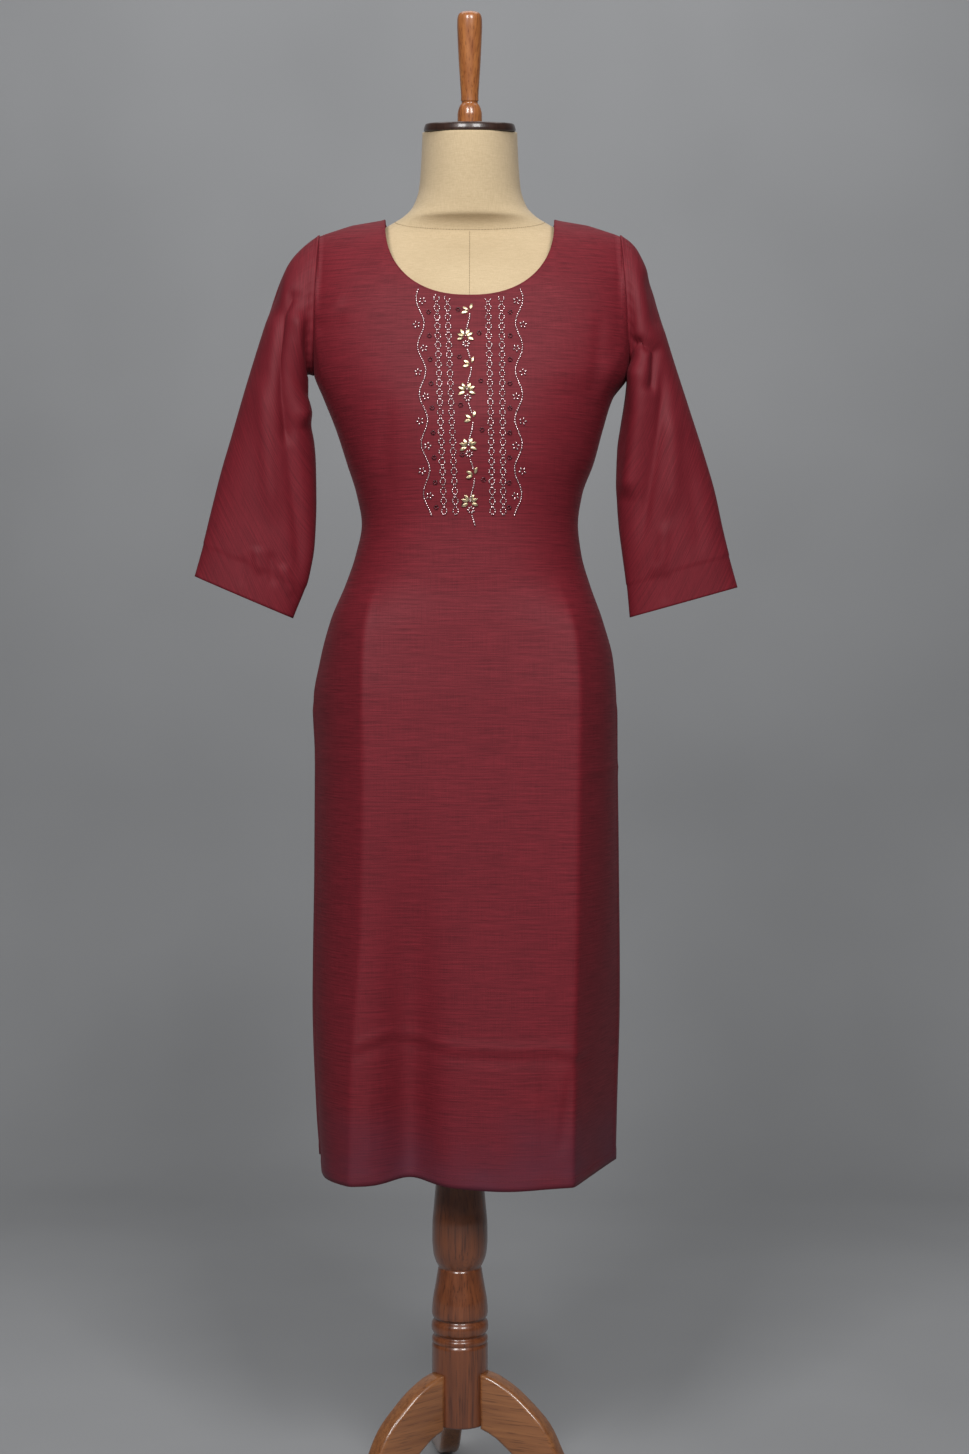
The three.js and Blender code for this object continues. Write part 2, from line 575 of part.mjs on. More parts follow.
function makeKurta() {
  const cloth = finish(0x7e2a36, 0.5);
  const kurta = new THREE.Group();
  kurta.add(piece("kurta_front", panelGeometry(1), cloth));
  kurta.add(piece("kurta_back", panelGeometry(-1), cloth.clone()));
  kurta.add(piece("sleeve_right", sleeveGeometry(RIGHT_SLEEVE, -1), cloth.clone()));
  kurta.add(piece("sleeve_left", sleeveGeometry(LEFT_SLEEVE, 1), cloth.clone()));
  return kurta;
}

function makeForm() {
  const form = new THREE.Group();
  form.add(piece("dress_form", formGeometry(), finish(0xc9b083, 0.9)));
  const { position, lean } = capFrame();
  const top = new THREE.Group();
  top.position.copy(position);
  top.rotation.x = lean;
  const cap = piece("neck_cap", turned(CAP_PROFILE, 36), finish(0x3a2016, 0.4));
  cap.position.z = SEAM_GAP;
  const handle = piece("neck_handle", turned(HANDLE_PROFILE, 24), finish(0xa8622e, 0.35));
  handle.position.z = CAP_PROFILE[CAP_PROFILE.length - 1].h + 2 * SEAM_GAP;
  top.add(cap, handle);
  form.add(top);
  return form;
}

function makeStand() {
  const wood = finish(0x6e2f14, 0.3);
  const stand = new THREE.Group();
  stand.position.x = POST_X;
  stand.add(piece("stand_post", turned(POST_PROFILE, 32), wood));
  const legs = [
    { name: "leg_left", turn: -30 },
    { name: "leg_back", turn: 90 },
    { name: "leg_right", turn: 210 },
  ];
  for (const { name, turn } of legs) {
    const leg = piece(name, legGeometry(), wood.clone());
    leg.rotation.z = THREE.MathUtils.degToRad(turn + LEG_TURN_DEG);
    stand.add(leg);
  }
  return stand;
}

const part = new THREE.Group();
part.add(makeKurta(), makeForm(), makeStand());

// The origin is the centre of the footprint box, on the floor.
part.updateMatrixWorld(true);
const footprint = new THREE.Box3().setFromObject(part, true).getCenter(new THREE.Vector3());
part.position.set(-footprint.x, -footprint.y, 0);

export default part;
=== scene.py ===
"""The looks of a kurta tunic worn by a limbless dress form on a turned tripod stand.

Sizes are in millimetres from the upright axis of the dress form and the floor, with the wearer facing -Y and the
wearer's left towards +X. A mesh is stored in metres in the shared frame.
"""

from __future__ import annotations

import logging
import math
import random
from collections.abc import Callable, Sequence
from dataclasses import dataclass, field, fields
from enum import Enum

import bmesh
import bpy
import numpy as np
from mathutils import Matrix, Vector


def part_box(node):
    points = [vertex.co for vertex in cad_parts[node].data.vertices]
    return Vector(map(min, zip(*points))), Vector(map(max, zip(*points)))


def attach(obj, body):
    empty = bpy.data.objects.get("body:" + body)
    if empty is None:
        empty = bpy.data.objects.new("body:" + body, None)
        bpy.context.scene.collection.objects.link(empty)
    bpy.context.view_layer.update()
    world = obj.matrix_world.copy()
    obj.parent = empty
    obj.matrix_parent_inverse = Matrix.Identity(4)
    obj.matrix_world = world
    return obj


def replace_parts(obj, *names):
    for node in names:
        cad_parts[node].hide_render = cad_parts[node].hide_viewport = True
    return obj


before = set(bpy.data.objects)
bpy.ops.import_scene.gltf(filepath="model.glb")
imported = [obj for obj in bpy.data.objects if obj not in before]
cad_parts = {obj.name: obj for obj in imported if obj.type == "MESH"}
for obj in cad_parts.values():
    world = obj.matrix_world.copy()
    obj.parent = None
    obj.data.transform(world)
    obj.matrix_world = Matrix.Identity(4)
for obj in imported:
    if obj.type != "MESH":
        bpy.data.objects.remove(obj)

LOG = logging.getLogger("kurta")
MM = 0.001
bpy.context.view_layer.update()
Colour = tuple[float, float, float, float]
Shades = dict[str, bpy.types.Material]


class Side(Enum):
    """Which panel of the kurta."""

    FRONT = 1
    BACK = -1


class Hand(Enum):
    """Which side of the wearer: the right is towards -X."""

    RIGHT = -1
    LEFT = 1


# ---- tables: one row for each height ---------------------------------------------------------------------------


@dataclass(frozen=True)
class BodyRow:
    """A level section of the worn kurta: half widths, and depths from the axis."""

    z: float
    right: float
    left: float
    front: float
    back: float
    power: float = 2.3


@dataclass(frozen=True)
class SkirtRow:
    """How sharply the skirt is creased at a height, and where its side edges hang."""

    z: float
    creased: float
    right_crease: float
    left_crease: float
    right_front: float
    right_back: float
    left_front: float
    left_back: float
    right_bow: float
    left_bow: float
    right_gape: float


@dataclass(frozen=True)
class SleeveRow:
    """A section of a sleeve: its outer and inner edges and its half depths."""

    share: float
    outer_x: float
    outer_z: float
    inner_x: float
    inner_z: float
    front: float
    back: float


@dataclass(frozen=True)
class FormRow:
    """A section of the dress form, which may lean towards the front."""

    z: float
    half: float
    front: float
    back: float
    lean: float
    power: float


BODY = (
    BodyRow(404, 176, 173, 120, 132),
    BodyRow(459, 180, 174, 120, 132),
    BodyRow(600, 185, 177, 118, 130),
    BodyRow(763, 182, 175, 117, 130),
    BodyRow(880, 181, 173, 116, 129),
    BodyRow(950, 184, 172, 115, 126),
    BodyRow(997, 176, 168, 113, 118),
    BodyRow(1044, 163, 155, 111, 105),
    BodyRow(1085, 145, 140, 109, 93),
    BodyRow(1120, 133, 130, 109, 86),
    BodyRow(1155, 126, 126, 110, 82),
    BodyRow(1190, 132, 131, 114, 86),
    BodyRow(1225, 143, 144, 119, 92, 2.25),
    BodyRow(1265, 156, 155, 121, 97, 2.2),
    BodyRow(1300, 170, 166, 117, 99, 2.2),
    BodyRow(1330, 182, 186, 109, 97, 2.25),
    BodyRow(1365, 188, 190, 99, 93, 2.4),
    BodyRow(1407, 190, 191, 88, 86, 2.5),
    BodyRow(1450, 190, 191, 79, 78, 2.5),
    BodyRow(1510, 190, 191, 70, 70, 2.5),
)
SKIRT = (
    SkirtRow(404, 1, 136, 118, 38, -52, -28, -42, 9, 0, 4.5),
    SkirtRow(529, 1, 133, 119, 34, -44, -25, -38, 9, 2, 3.5),
    SkirtRow(700, 1, 122, 122, 22, -30, -16, -26, 9, 7, 1.5),
    SkirtRow(880, 1, 120, 124, 6, -10, -5, -9, 9, 9, 0),
    SkirtRow(950, 1, 121, 125, 0, 0, 0, 0, 9, 9, 0),
    SkirtRow(1030, 0.75, 120, 122, 0, 0, 0, 0, 9, 9, 0),
    SkirtRow(1100, 0, 112, 112, 0, 0, 0, 0, 9, 9, 0),
    SkirtRow(1510, 0, 112, 112, 0, 0, 0, 0, 9, 9, 0),
)


def sleeve_rows(*rows: tuple[float, float, float, float, float, float]) -> tuple[SleeveRow, ...]:
    """Numbers a sleeve's rows evenly from 0 at the armhole to 1 at the cuff.

    Args:
        rows: outer x, outer z, inner x, inner z, front and back depth of each section.

    Returns:
        The rows as a table.
    """
    return tuple(SleeveRow(i / (len(rows) - 1), *row) for i, row in enumerate(rows))


RIGHT_SLEEVE = sleeve_rows(
    (-174, 1490, -182, 1330, 42, 46),
    (-193, 1476, -191, 1331, 47, 51),
    (-213, 1452, -197, 1322, 50, 52),
    (-231, 1405, -197, 1304, 51, 50),
    (-246, 1360, -192, 1285, 49, 46),
    (-262, 1309, -184, 1262, 45, 42),
    (-277, 1258, -180.5, 1224, 40, 37),
    (-289, 1218, -180, 1182, 35, 32),
    (-301, 1172, -182, 1134, 29, 27),
    (-311, 1132, -189, 1094, 25, 23),
    (-321.5, 1095, -207, 1046, 21, 19),
)
LEFT_SLEEVE = sleeve_rows(
    (174, 1490, 186, 1330, 42, 46),
    (189, 1479, 187, 1325, 47, 51),
    (202, 1457, 185, 1315, 50, 52),
    (218, 1405, 181, 1296, 51, 50),
    (235, 1350, 176.5, 1270, 49, 46),
    (254, 1292, 172.5, 1240, 45, 42),
    (271, 1240, 171.5, 1200, 40, 37),
    (285, 1193, 174, 1158, 35, 32),
    (294.5, 1150, 179, 1118, 30, 28),
    (303, 1116, 183.5, 1084, 26, 24),
    (312.5, 1082, 187, 1047, 22, 20),
)
FORM = (
    FormRow(760, 150, 92, 100, 0, 2.2),
    FormRow(770, 155, 97, 106, 0, 2.2),
    FormRow(850, 160, 103, 113, 0, 2.2),
    FormRow(930, 161, 106, 114, 0, 2.2),
    FormRow(990, 154, 104, 108, 0, 2.2),
    FormRow(1050, 138, 99, 92, 0, 2.2),
    FormRow(1100, 123, 93, 78, 0, 2.2),
    FormRow(1150, 116, 90, 72, 0, 2.2),
    FormRow(1200, 124, 99, 78, 0, 2.2),
    FormRow(1250, 140, 112, 86, 0, 2.2),
    FormRow(1290, 152, 110, 90, 0, 2.2),
    FormRow(1340, 164, 99, 88, 0, 2.25),
    FormRow(1400, 168, 84, 80, 0, 2.3),
    FormRow(1440, 166, 66, 63, 0, 2.3),
    FormRow(1464, 160, 51, 48, 0, 2.2),
    FormRow(1480, 141, 41, 38, 0, 2.1),
    FormRow(1490, 118, 38, 33, 0, 2.0),
    FormRow(1498, 101, 41, 35, 1, 1.9),
    FormRow(1504, 90, 46, 39, 2, 1.9),
    FormRow(1512, 77, 54, 45, 4, 2.0),
    FormRow(1524, 66, 56, 44, 6, 2.0),
    FormRow(1545, 59, 60, 42, 8, 2.0),
    FormRow(1575, 56.5, 66, 39, 9.5, 2.0),
    FormRow(1609, 55, 71, 34, 9.5, 2.0),
)


class Eased:
    """The columns of a table, eased between its rows without overshoot."""

    def __init__(self, rows: Sequence[object], key: str = "z") -> None:
        """Reads the table.

        Args:
            rows: dataclass rows in rising order of the key.
            key: the column that the others are looked up by.
        """
        names = [f.name for f in fields(rows[0])]
        table = {name: np.array([float(getattr(row, name)) for row in rows]) for name in names}
        self.knots = table.pop(key)
        self.columns = table
        self.slopes = {name: self._slopes(values) for name, values in table.items()}

    def _slopes(self, values: np.ndarray) -> np.ndarray:
        """Gives each row the harmonic mean of the slopes beside it.

        Args:
            values: one column.

        Returns:
            The column's slope at each row.
        """
        rise = np.diff(values) / np.diff(self.knots)
        before, after = rise[:-1], rise[1:]
        total = np.where(before + after == 0, 1.0, before + after)
        inner = np.where(before * after > 0, 2 * before * after / total, 0.0)
        return np.concatenate([rise[:1], inner, rise[-1:]])

    def at(self, where: np.ndarray | float) -> dict[str, np.ndarray]:
        """Looks up every column.

        Args:
            where: values of the key.

        Returns:
            Each column's values there.
        """
        at = np.clip(np.asarray(where, float), self.knots[0], self.knots[-1])
        i = np.clip(np.searchsorted(self.knots, at, side="right") - 1, 0, len(self.knots) - 2)
        span = self.knots[i + 1] - self.knots[i]
        t = (at - self.knots[i]) / span
        t2, t3 = t * t, t * t * t
        found = {}
        for name, values in self.columns.items():
            slope = self.slopes[name]
            found[name] = (
                values[i] * (2 * t3 - 3 * t2 + 1)
                + values[i + 1] * (3 * t2 - 2 * t3)
                + span * (slope[i] * (t3 - 2 * t2 + t) + slope[i + 1] * (t3 - t2))
            )
        return found


def smooth(t: np.ndarray | float) -> np.ndarray:
    """Eases 0 to 1 with level ends.

    Args:
        t: values, held between 0 and 1.

    Returns:
        The eased values.
    """
    c = np.clip(t, 0, 1)
    return c * c * (3 - 2 * c)


def mix(a: np.ndarray | float, b: np.ndarray | float, t: np.ndarray | float) -> np.ndarray:
    """Blends from a at 0 to b at 1.

    Args:
        a: the first value.
        b: the second value.
        t: how far from the first to the second.

    Returns:
        The blend.
    """
    return a + (b - a) * t


def form_axis() -> np.ndarray:
    """Finds the upright axis of the dress form from the post, which stands 12 mm to the wearer's right of it.

    Returns:
        The axis where it meets the floor, in metres.
    """
    low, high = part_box("stand_post")
    return np.array([(low[0] + high[0]) / 2 + 12 * MM, (low[1] + high[1]) / 2, 0.0])


AXIS = form_axis()


def placed(points: np.ndarray) -> np.ndarray:
    """Moves millimetres about the form's axis to metres in the shared frame.

    Args:
        points: the points.

    Returns:
        The moved points.
    """
    return np.asarray(points, float) * MM + AXIS


# ---- folds -----------------------------------------------------------------------------------------------------


@dataclass(frozen=True)
class Fold:
    """A ridge, or a trough where rise is negative, along a line seen from the front."""

    path: tuple[tuple[float, float], ...]
    rise: float
    width: float
    fade: float = 0.25

    def relief(self, x: np.ndarray, z: np.ndarray) -> np.ndarray:
        """Works out how far the fold lifts the cloth.

        Args:
            x: distances from the axis.
            z: heights.

        Returns:
            The lift at each point.
        """
        corners = np.array(self.path)
        lengths = np.linalg.norm(np.diff(corners, axis=0), axis=1)
        total, start = lengths.sum(), 0.0
        best = np.full(np.shape(x), 1e9)
        along = np.zeros(np.shape(x))
        for (ax, az), (bx, bz), length in zip(corners[:-1], corners[1:], lengths):
            t = np.clip(((x - ax) * (bx - ax) + (z - az) * (bz - az)) / length**2, 0, 1)
            away = np.hypot(x - mix(ax, bx, t), z - mix(az, bz, t))
            closer = away < best
            best = np.where(closer, away, best)
            along = np.where(closer, (start + t * length) / total, along)
            start += length
        ends = smooth(along / self.fade) * smooth((1 - along) / self.fade)
        return self.rise * ends * np.exp(-((best / self.width) ** 2))


FRONT_FOLDS = (
    Fold(((-140, 560), (-91, 577), (-57, 571), (-17, 561), (42, 559), (94, 560), (140, 552)), 1.8, 5, 0.06),
    Fold(((-140, 548), (-91, 566), (-57, 560), (-17, 550), (42, 548), (94, 549), (140, 541)), -1.2, 6, 0.06),
    Fold(((-185, 884), (-160, 887), (-122, 886)), 1.4, 4),
    Fold(((122, 872), (150, 873), (180, 870)), 1.6, 4),
    Fold(((47, 879), (52, 841), (56, 776), (58, 704)), 1.1, 1.6),
    Fold(((118, 548), (110, 494), (102, 432)), -2.4, 6),
    Fold(((-114, 520), (-113, 420)), 1.0, 3),
    Fold(((73, 548), (75, 425)), 0.8, 3),
    Fold(((16, 1126), (15, 1000), (14, 907)), 0.5, 2),
    Fold(((-178, 1384), (-160, 1394), (-142, 1412)), 2.2, 6),
    Fold(((-178, 1372), (-158, 1380), (-138, 1386)), -1.6, 6),
    Fold(((166, 1452), (168, 1430)), 1.4, 2.5),
    Fold(((150, 1400), (146, 1340), (138, 1290)), -1.6, 7),
    Fold(((176, 1352), (160, 1330), (150, 1290)), 1.8, 7),
    Fold(((-90, 1300), (-96, 1230), (-92, 1170)), -1.2, 10),
    Fold(((-110, 1090), (-118, 1000), (-121, 900)), 1.0, 5),
)
BACK_FOLDS = (
    Fold(((-140, 556), (-60, 566), (10, 556), (80, 563), (140, 552)), 1.8, 5, 0.06),
    Fold(((-180, 880), (-122, 884), (-60, 880)), 1.2, 4),
    Fold(((60, 874), (122, 872), (180, 868)), 1.2, 4),
    Fold(((-110, 1180), (-50, 1160), (20, 1166), (96, 1182)), -2.6, 9),
    Fold(((-90, 1130), (-20, 1118), (70, 1126), (110, 1140)), 2.2, 8),
    Fold(((-150, 1380), (-110, 1330), (-90, 1260)), -2.0, 10),
    Fold(((150, 1384), (116, 1330), (92, 1262)), -2.0, 10),
    Fold(((12, 1120), (11, 700)), 0.6, 2),
)
RIGHT_FOLDS = (
    Fold(((-184, 1412), (-204, 1412), (-215, 1392), (-217, 1340), (-215, 1300), (-208, 1240)), 7, 7, 0.12),
    Fold(((-196, 1402), (-200, 1360), (-197, 1310), (-192, 1262)), -9, 8, 0.15),
    Fold(((-239, 1330), (-236, 1290), (-232, 1230), (-226, 1150)), -4, 10),
    Fold(((-214, 1290), (-206, 1210), (-199, 1140), (-196, 1080)), 4, 8),
    Fold(((-222, 1480), (-226, 1430), (-222, 1380)), 3, 9),
    Fold(((-247, 1130), (-243, 1095)), -3, 5),
    Fold(((-231, 1125), (-228, 1080)), 3, 4),
    Fold(((-218, 1110), (-206, 1070)), -3, 5),
    Fold(((-262, 1120), (-266, 1080)), 1.5, 6),
)
LEFT_FOLDS = (
    Fold(((180, 1362), (196, 1360), (214, 1352), (211, 1330), (205, 1300)), 7, 6, 0.15),
    Fold(((188, 1348), (196, 1320), (196, 1280), (190, 1230), (184, 1180)), -9, 10, 0.15),
    Fold(((222, 1360), (222, 1300), (214, 1240), (204, 1180), (196, 1120)), 5, 7),
    Fold(((232, 1290), (234, 1230), (232, 1160)), -3.5, 9),
    Fold(((226, 1160), (222, 1110), (208, 1090)), -3, 6),
    Fold(((204, 1450), (212, 1410), (216, 1370)), 3, 8),
    Fold(((252, 1230), (262, 1160), (268, 1110)), 2, 10),
    Fold(((228, 1100), (226, 1060)), 2.5, 4),
)


# ---- the worn shape --------------------------------------------------------------------------------------------


@dataclass
class WornShape:
    """The surface that the kurta's front and back hang in."""

    hem_z: float = 404
    fan_z: float = 1230
    underarm_z: float = 1330
    slit_top_z: float = 950
    neck_half: float = 98
    neck_top_z: float = 1508
    neck_power: float = 2.35
    tip: tuple[float, float] = (174, 1490)
    bend: tuple[float, float] = (137, 1501.6)
    shoulder_round: float = 98
    crease_share: float = 0.48
    gap: float = 0.4
    body: Eased = field(default_factory=lambda: Eased(BODY))
    skirt: Eased = field(default_factory=lambda: Eased(SKIRT))

    def shoulder_z(self, x: np.ndarray | float) -> np.ndarray:
        """Gives the height of the shoulder seam at a distance from the axis.

        Args:
            x: the distance.

        Returns:
            The height.
        """
        across = [self.neck_half, self.bend[0], self.tip[0]]
        return np.interp(np.abs(x), across, [self.neck_top_z, self.bend[1], self.tip[1]])

    def girth_share(self, x: np.ndarray | float, z: np.ndarray | float) -> np.ndarray:
        """Gives the share of the girth, 0 at the middle and 1 at the side, at a distance from the axis.

        Args:
            x: distances from the axis.
            z: heights, where the section is round.

        Returns:
            The shares, negative towards the wearer's right.
        """
        row = self.body.at(z)
        half = np.where(np.asarray(x) < 0, row["right"], row["left"])
        part = np.clip(np.abs(x) / half, 0, 1)
        return np.sign(x) * np.arcsin(part ** (row["power"] / 2)) / (math.pi / 2)

    def point(self, side: Side, u: np.ndarray, z: np.ndarray) -> np.ndarray:
        """Works out points of the cloth.

        Args:
            side: the panel.
            u: shares of the girth, -1 at the wearer's right side seam and 1 at the left one.
            z: heights.

        Returns:
            The points, with a last axis of x, y and z.
        """
        u, z = np.broadcast_arrays(np.asarray(u, float), np.asarray(z, float))
        row, skirt = self.body.at(z), self.skirt.at(z)
        right, out = u < 0, np.abs(u)
        half = np.where(right, row["right"] - side.value * skirt["right_gape"], row["left"])
        depth = row["front" if side is Side.FRONT else "back"]
        end = side.name.lower()
        edge = side.value * np.where(right, skirt[f"right_{end}"], skirt[f"left_{end}"])
        crease = np.where(right, skirt["right_crease"], skirt["left_crease"])
        bow = np.where(right, skirt["right_bow"], skirt["left_bow"])
        angle = out * math.pi / 2
        cosine = np.clip(np.cos(angle), 0, 1)
        round_x = half * np.sin(angle) ** (2 / row["power"])
        round_d = depth * cosine ** (2 / row["power"])
        past = (out - self.crease_share) / (1 - self.crease_share)
        t = 0.5 * (past + np.sqrt(past**2 + 0.0006))
        belly = bow * np.sin(math.pi * np.clip(t, 0, 1))
        flat_x = crease * (out - (1 - self.crease_share) * t) / self.crease_share + (half - crease) * t + 0.9 * belly
        flat_d = depth + (edge - depth) * t + 0.4 * belly
        x = np.sign(u) * mix(round_x, flat_x, skirt["creased"])
        d = mix(round_d, flat_d, skirt["creased"]) + self.flutes(side, x, z)
        under = np.clip((self.shoulder_z(x) - z) / self.shoulder_round, 0, 1)
        d = d * np.sqrt(1 - (1 - under) ** 2)
        return np.stack([x, -side.value * (d + self.gap / 2), z], -1)

    def flutes(self, side: Side, x: np.ndarray, z: np.ndarray) -> np.ndarray:
        """Gives the soft flutes of the hanging skirt, which fade out upwards.

        Args:
            side: the panel.
            x: distances from the axis.
            z: heights.

        Returns:
            How far each point stands forward.
        """
        rows = {
            Side.FRONT: ((-68, 30, -34, 860), (42, 48, 7, 760)),
            Side.BACK: ((55, 34, -30, 820), (-48, 40, 8, 760)),
        }[side]
        total = np.zeros(np.shape(x))
        for middle, width, depth, fade_z in rows:
            fade = smooth((fade_z - z) / (fade_z - self.hem_z))
            total = total + depth * fade * np.exp(-(((x - middle) / width) ** 2))
        return total

    def armhole(self, side: Side, hand: Hand, turn: float) -> np.ndarray:
        """Gives a point on an armhole.

        Args:
            side: the panel.
            hand: the side of the wearer.
            turn: 0 at the shoulder tip and 1 at the underarm.

        Returns:
            The point.
        """
        angle = turn * math.pi
        z = mix(self.underarm_z, self.tip[1], (1 + math.cos(angle)) / 2)
        low_x = 182 if hand is Hand.RIGHT else 186
        x = hand.value * mix(self.tip[0], low_x, (1 - math.cos(angle)) / 2)
        depth = (42 if side is Side.FRONT else 46) * math.sin(angle)
        return np.array([x, -side.value * (depth + self.gap / 2), z])

    def neckline(self, side: Side, hand: Hand, turn: float) -> tuple[float, float]:
        """Gives x and z on the neckline, from the shoulder at turn 0 to the middle at 1.

        Args:
            side: the panel.
            hand: the side of the wearer.
            turn: how far round.

        Returns:
            The place.
        """
        angle = turn * math.pi / 2
        drop = 99 if side is Side.FRONT else 78
        x = hand.value * self.neck_half * max(math.cos(angle), 0.0) ** (2 / self.neck_power)
        return x, self.neck_top_z - drop * math.sin(angle) ** (2 / self.neck_power)

    def on_front(self, x: float, z: float) -> tuple[Vector, Vector]:
        """Finds the chest's surface, where its section is round.

        Args:
            x: distance from the axis.
            z: height.

        Returns:
            The point, and the way the surface faces.
        """
        spots = [(x, z), (x + 1, z), (x, z + 1)]
        here, across, up = (
            Vector(self.point(Side.FRONT, self.girth_share(sx, sz), sz)) for sx, sz in spots
        )
        return here, (across - here).cross(up - here).normalized()


# ---- meshes ----------------------------------------------------------------------------------------------------


def outward(grid: np.ndarray, wraps: bool = False) -> np.ndarray:
    """Works out a grid's normals.

    Args:
        grid: points by column and row.
        wraps: whether the last column is the first again.

    Returns:
        Unit normals, pointing one way all over.
    """
    source = np.concatenate([grid[-2:-1], grid, grid[1:2]]) if wraps else grid
    across = np.gradient(source, axis=0)
    across = across[1:-1] if wraps else across
    normal = np.cross(across, np.gradient(grid, axis=1))
    return normal / np.maximum(np.linalg.norm(normal, axis=-1, keepdims=True), 1e-9)


def keep(name: str, bm: bmesh.types.BMesh, material: bpy.types.Material) -> bpy.types.Object:
    """Stores a finished bmesh as a piece that rides on the object.

    Args:
        name: the piece's name.
        bm: its mesh, in metres in the shared frame; it is freed.
        material: its finish.

    Returns:
        The new object.
    """
    mesh = bpy.data.meshes.new(name)
    bm.to_mesh(mesh)
    bm.free()
    mesh.shade_smooth()
    mesh.materials.append(material)
    piece = bpy.data.objects.new(name, mesh)
    bpy.context.scene.collection.objects.link(piece)
    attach(piece, "root")
    LOG.info("%s: %d faces", name, len(mesh.polygons))
    return piece


def sheet_mesh(grid: np.ndarray, uv: np.ndarray, wraps: bool, flip: bool) -> bmesh.types.BMesh:
    """Shapes a bmesh grid to a sheet of points.

    Args:
        grid: points by column and row, in millimetres.
        uv: the cloth's own metres at each point.
        wraps: whether the last column meets the first.
        flip: whether the faces are turned round.

    Returns:
        The mesh, in metres in the shared frame.
    """
    columns, rows = grid.shape[:2]
    bm = bmesh.new()
    bmesh.ops.create_grid(bm, x_segments=columns - 1, y_segments=rows - 1, size=1)
    places = placed(grid)
    layer = bm.loops.layers.uv.new("cloth")
    index = {}
    for vert in bm.verts:
        i = round((vert.co.x + 1) / 2 * (columns - 1))
        j = round((vert.co.y + 1) / 2 * (rows - 1))
        index[vert] = (i, j)
    for face in bm.faces:
        for loop in face.loops:
            loop[layer].uv = uv[index[loop.vert]]
    for vert, where in index.items():
        vert.co = places[where]
    if wraps:
        bmesh.ops.remove_doubles(bm, verts=bm.verts, dist=1e-6)
    if flip:
        bmesh.ops.reverse_faces(bm, faces=bm.faces)
    return bm


def thicken(piece: bpy.types.Object, thickness: float) -> None:
    """Gives a sheet a wall behind its outer face.

    Args:
        piece: the sheet.
        thickness: in millimetres.
    """
    wall = piece.modifiers.new("wall", "SOLIDIFY")
    wall.thickness = thickness * MM
    wall.offset = -1
    wall.use_even_offset = False


def stamped(
    name: str, stamp: bmesh.types.BMesh, spots: Sequence[Matrix], material: bpy.types.Material
) -> bpy.types.Object:
    """Joins many copies of one small shape.

    Args:
        name: the piece's name.
        stamp: the small shape, in millimetres; it is freed.
        spots: where each copy goes, in millimetres about the axis.
        material: its finish.

    Returns:
        The new object.
    """
    stamp.verts.ensure_lookup_table()
    points = np.array([(*v.co, 1.0) for v in stamp.verts])
    faces = [[v.index for v in f.verts] for f in stamp.faces]
    stamp.free()
    matrices = np.array([[list(row) for row in spot] for spot in spots])
    copies = np.einsum("nij,vj->nvi", matrices, points)[..., :3].reshape(-1, 3)
    loops = [[k + n * len(points) for k in face] for n in range(len(spots)) for face in faces]
    mesh = bpy.data.meshes.new(name + "_copies")
    mesh.from_pydata(placed(copies).tolist(), [], loops)
    bm = bmesh.new()
    bm.from_mesh(mesh)
    bpy.data.meshes.remove(mesh)
    return keep(name, bm, material)


def rod_shape(radius: float, length: float, segments: int = 6) -> bmesh.types.BMesh:
    """Makes a short rod along X with rounded ends, for stitches and cut beads.

    Args:
        radius: of the rod.
        length: of the rod.
        segments: how many facets round it.

    Returns:
        The rod, in millimetres.
    """
    bm = bmesh.new()
    bmesh.ops.create_uvsphere(bm, u_segments=segments, v_segments=5, radius=1)
    for vert in bm.verts:
        x, y, z = vert.co
        vert.co = (math.copysign(abs(z) ** 0.45, z) * length / 2, x * radius, y * radius)
    return bm


def leaf_shape(length: float, width: float, crown: float) -> bmesh.types.BMesh:
    """Makes a pointed, domed leaf along X with a pressed midrib.

    Args:
        length: from the stalk to the tip.
        width: at the widest.
        crown: how thick it is each way.

    Returns:
        The leaf, in millimetres.
    """
    bm = bmesh.new()
    bmesh.ops.create_uvsphere(bm, u_segments=14, v_segments=9, radius=1)
    for vert in bm.verts:
        x, y, z = vert.co.z, vert.co.x, vert.co.y
        body = max(1 - x * x, 0.0) ** 0.25
        groove = 0.35 * math.exp(-((y / 0.16) ** 2)) if z > 0 else 0.0
        vert.co = ((x + 1) * length / 2, y * body * width / 2, (z * (0.6 + 0.4 * body) - groove) * crown)
    return bm


def spot_on(point: Vector, normal: Vector, heading: Vector, lift: float = 0.0) -> Matrix:
    """Builds the place of a small shape that lies on a surface.

    Args:
        point: a point of the surface.
        normal: the way the surface faces.
        heading: roughly where the shape's X axis points.
        lift: how far its centre stands off the surface.

    Returns:
        The matrix.
    """
    along = (heading - normal * heading.dot(normal)).normalized()
    beside = normal.cross(along)
    place = Matrix((along, beside, normal)).transposed().to_4x4()
    place.translation = point + normal * lift
    return place


# ---- finishes --------------------------------------------------------------------------------------------------


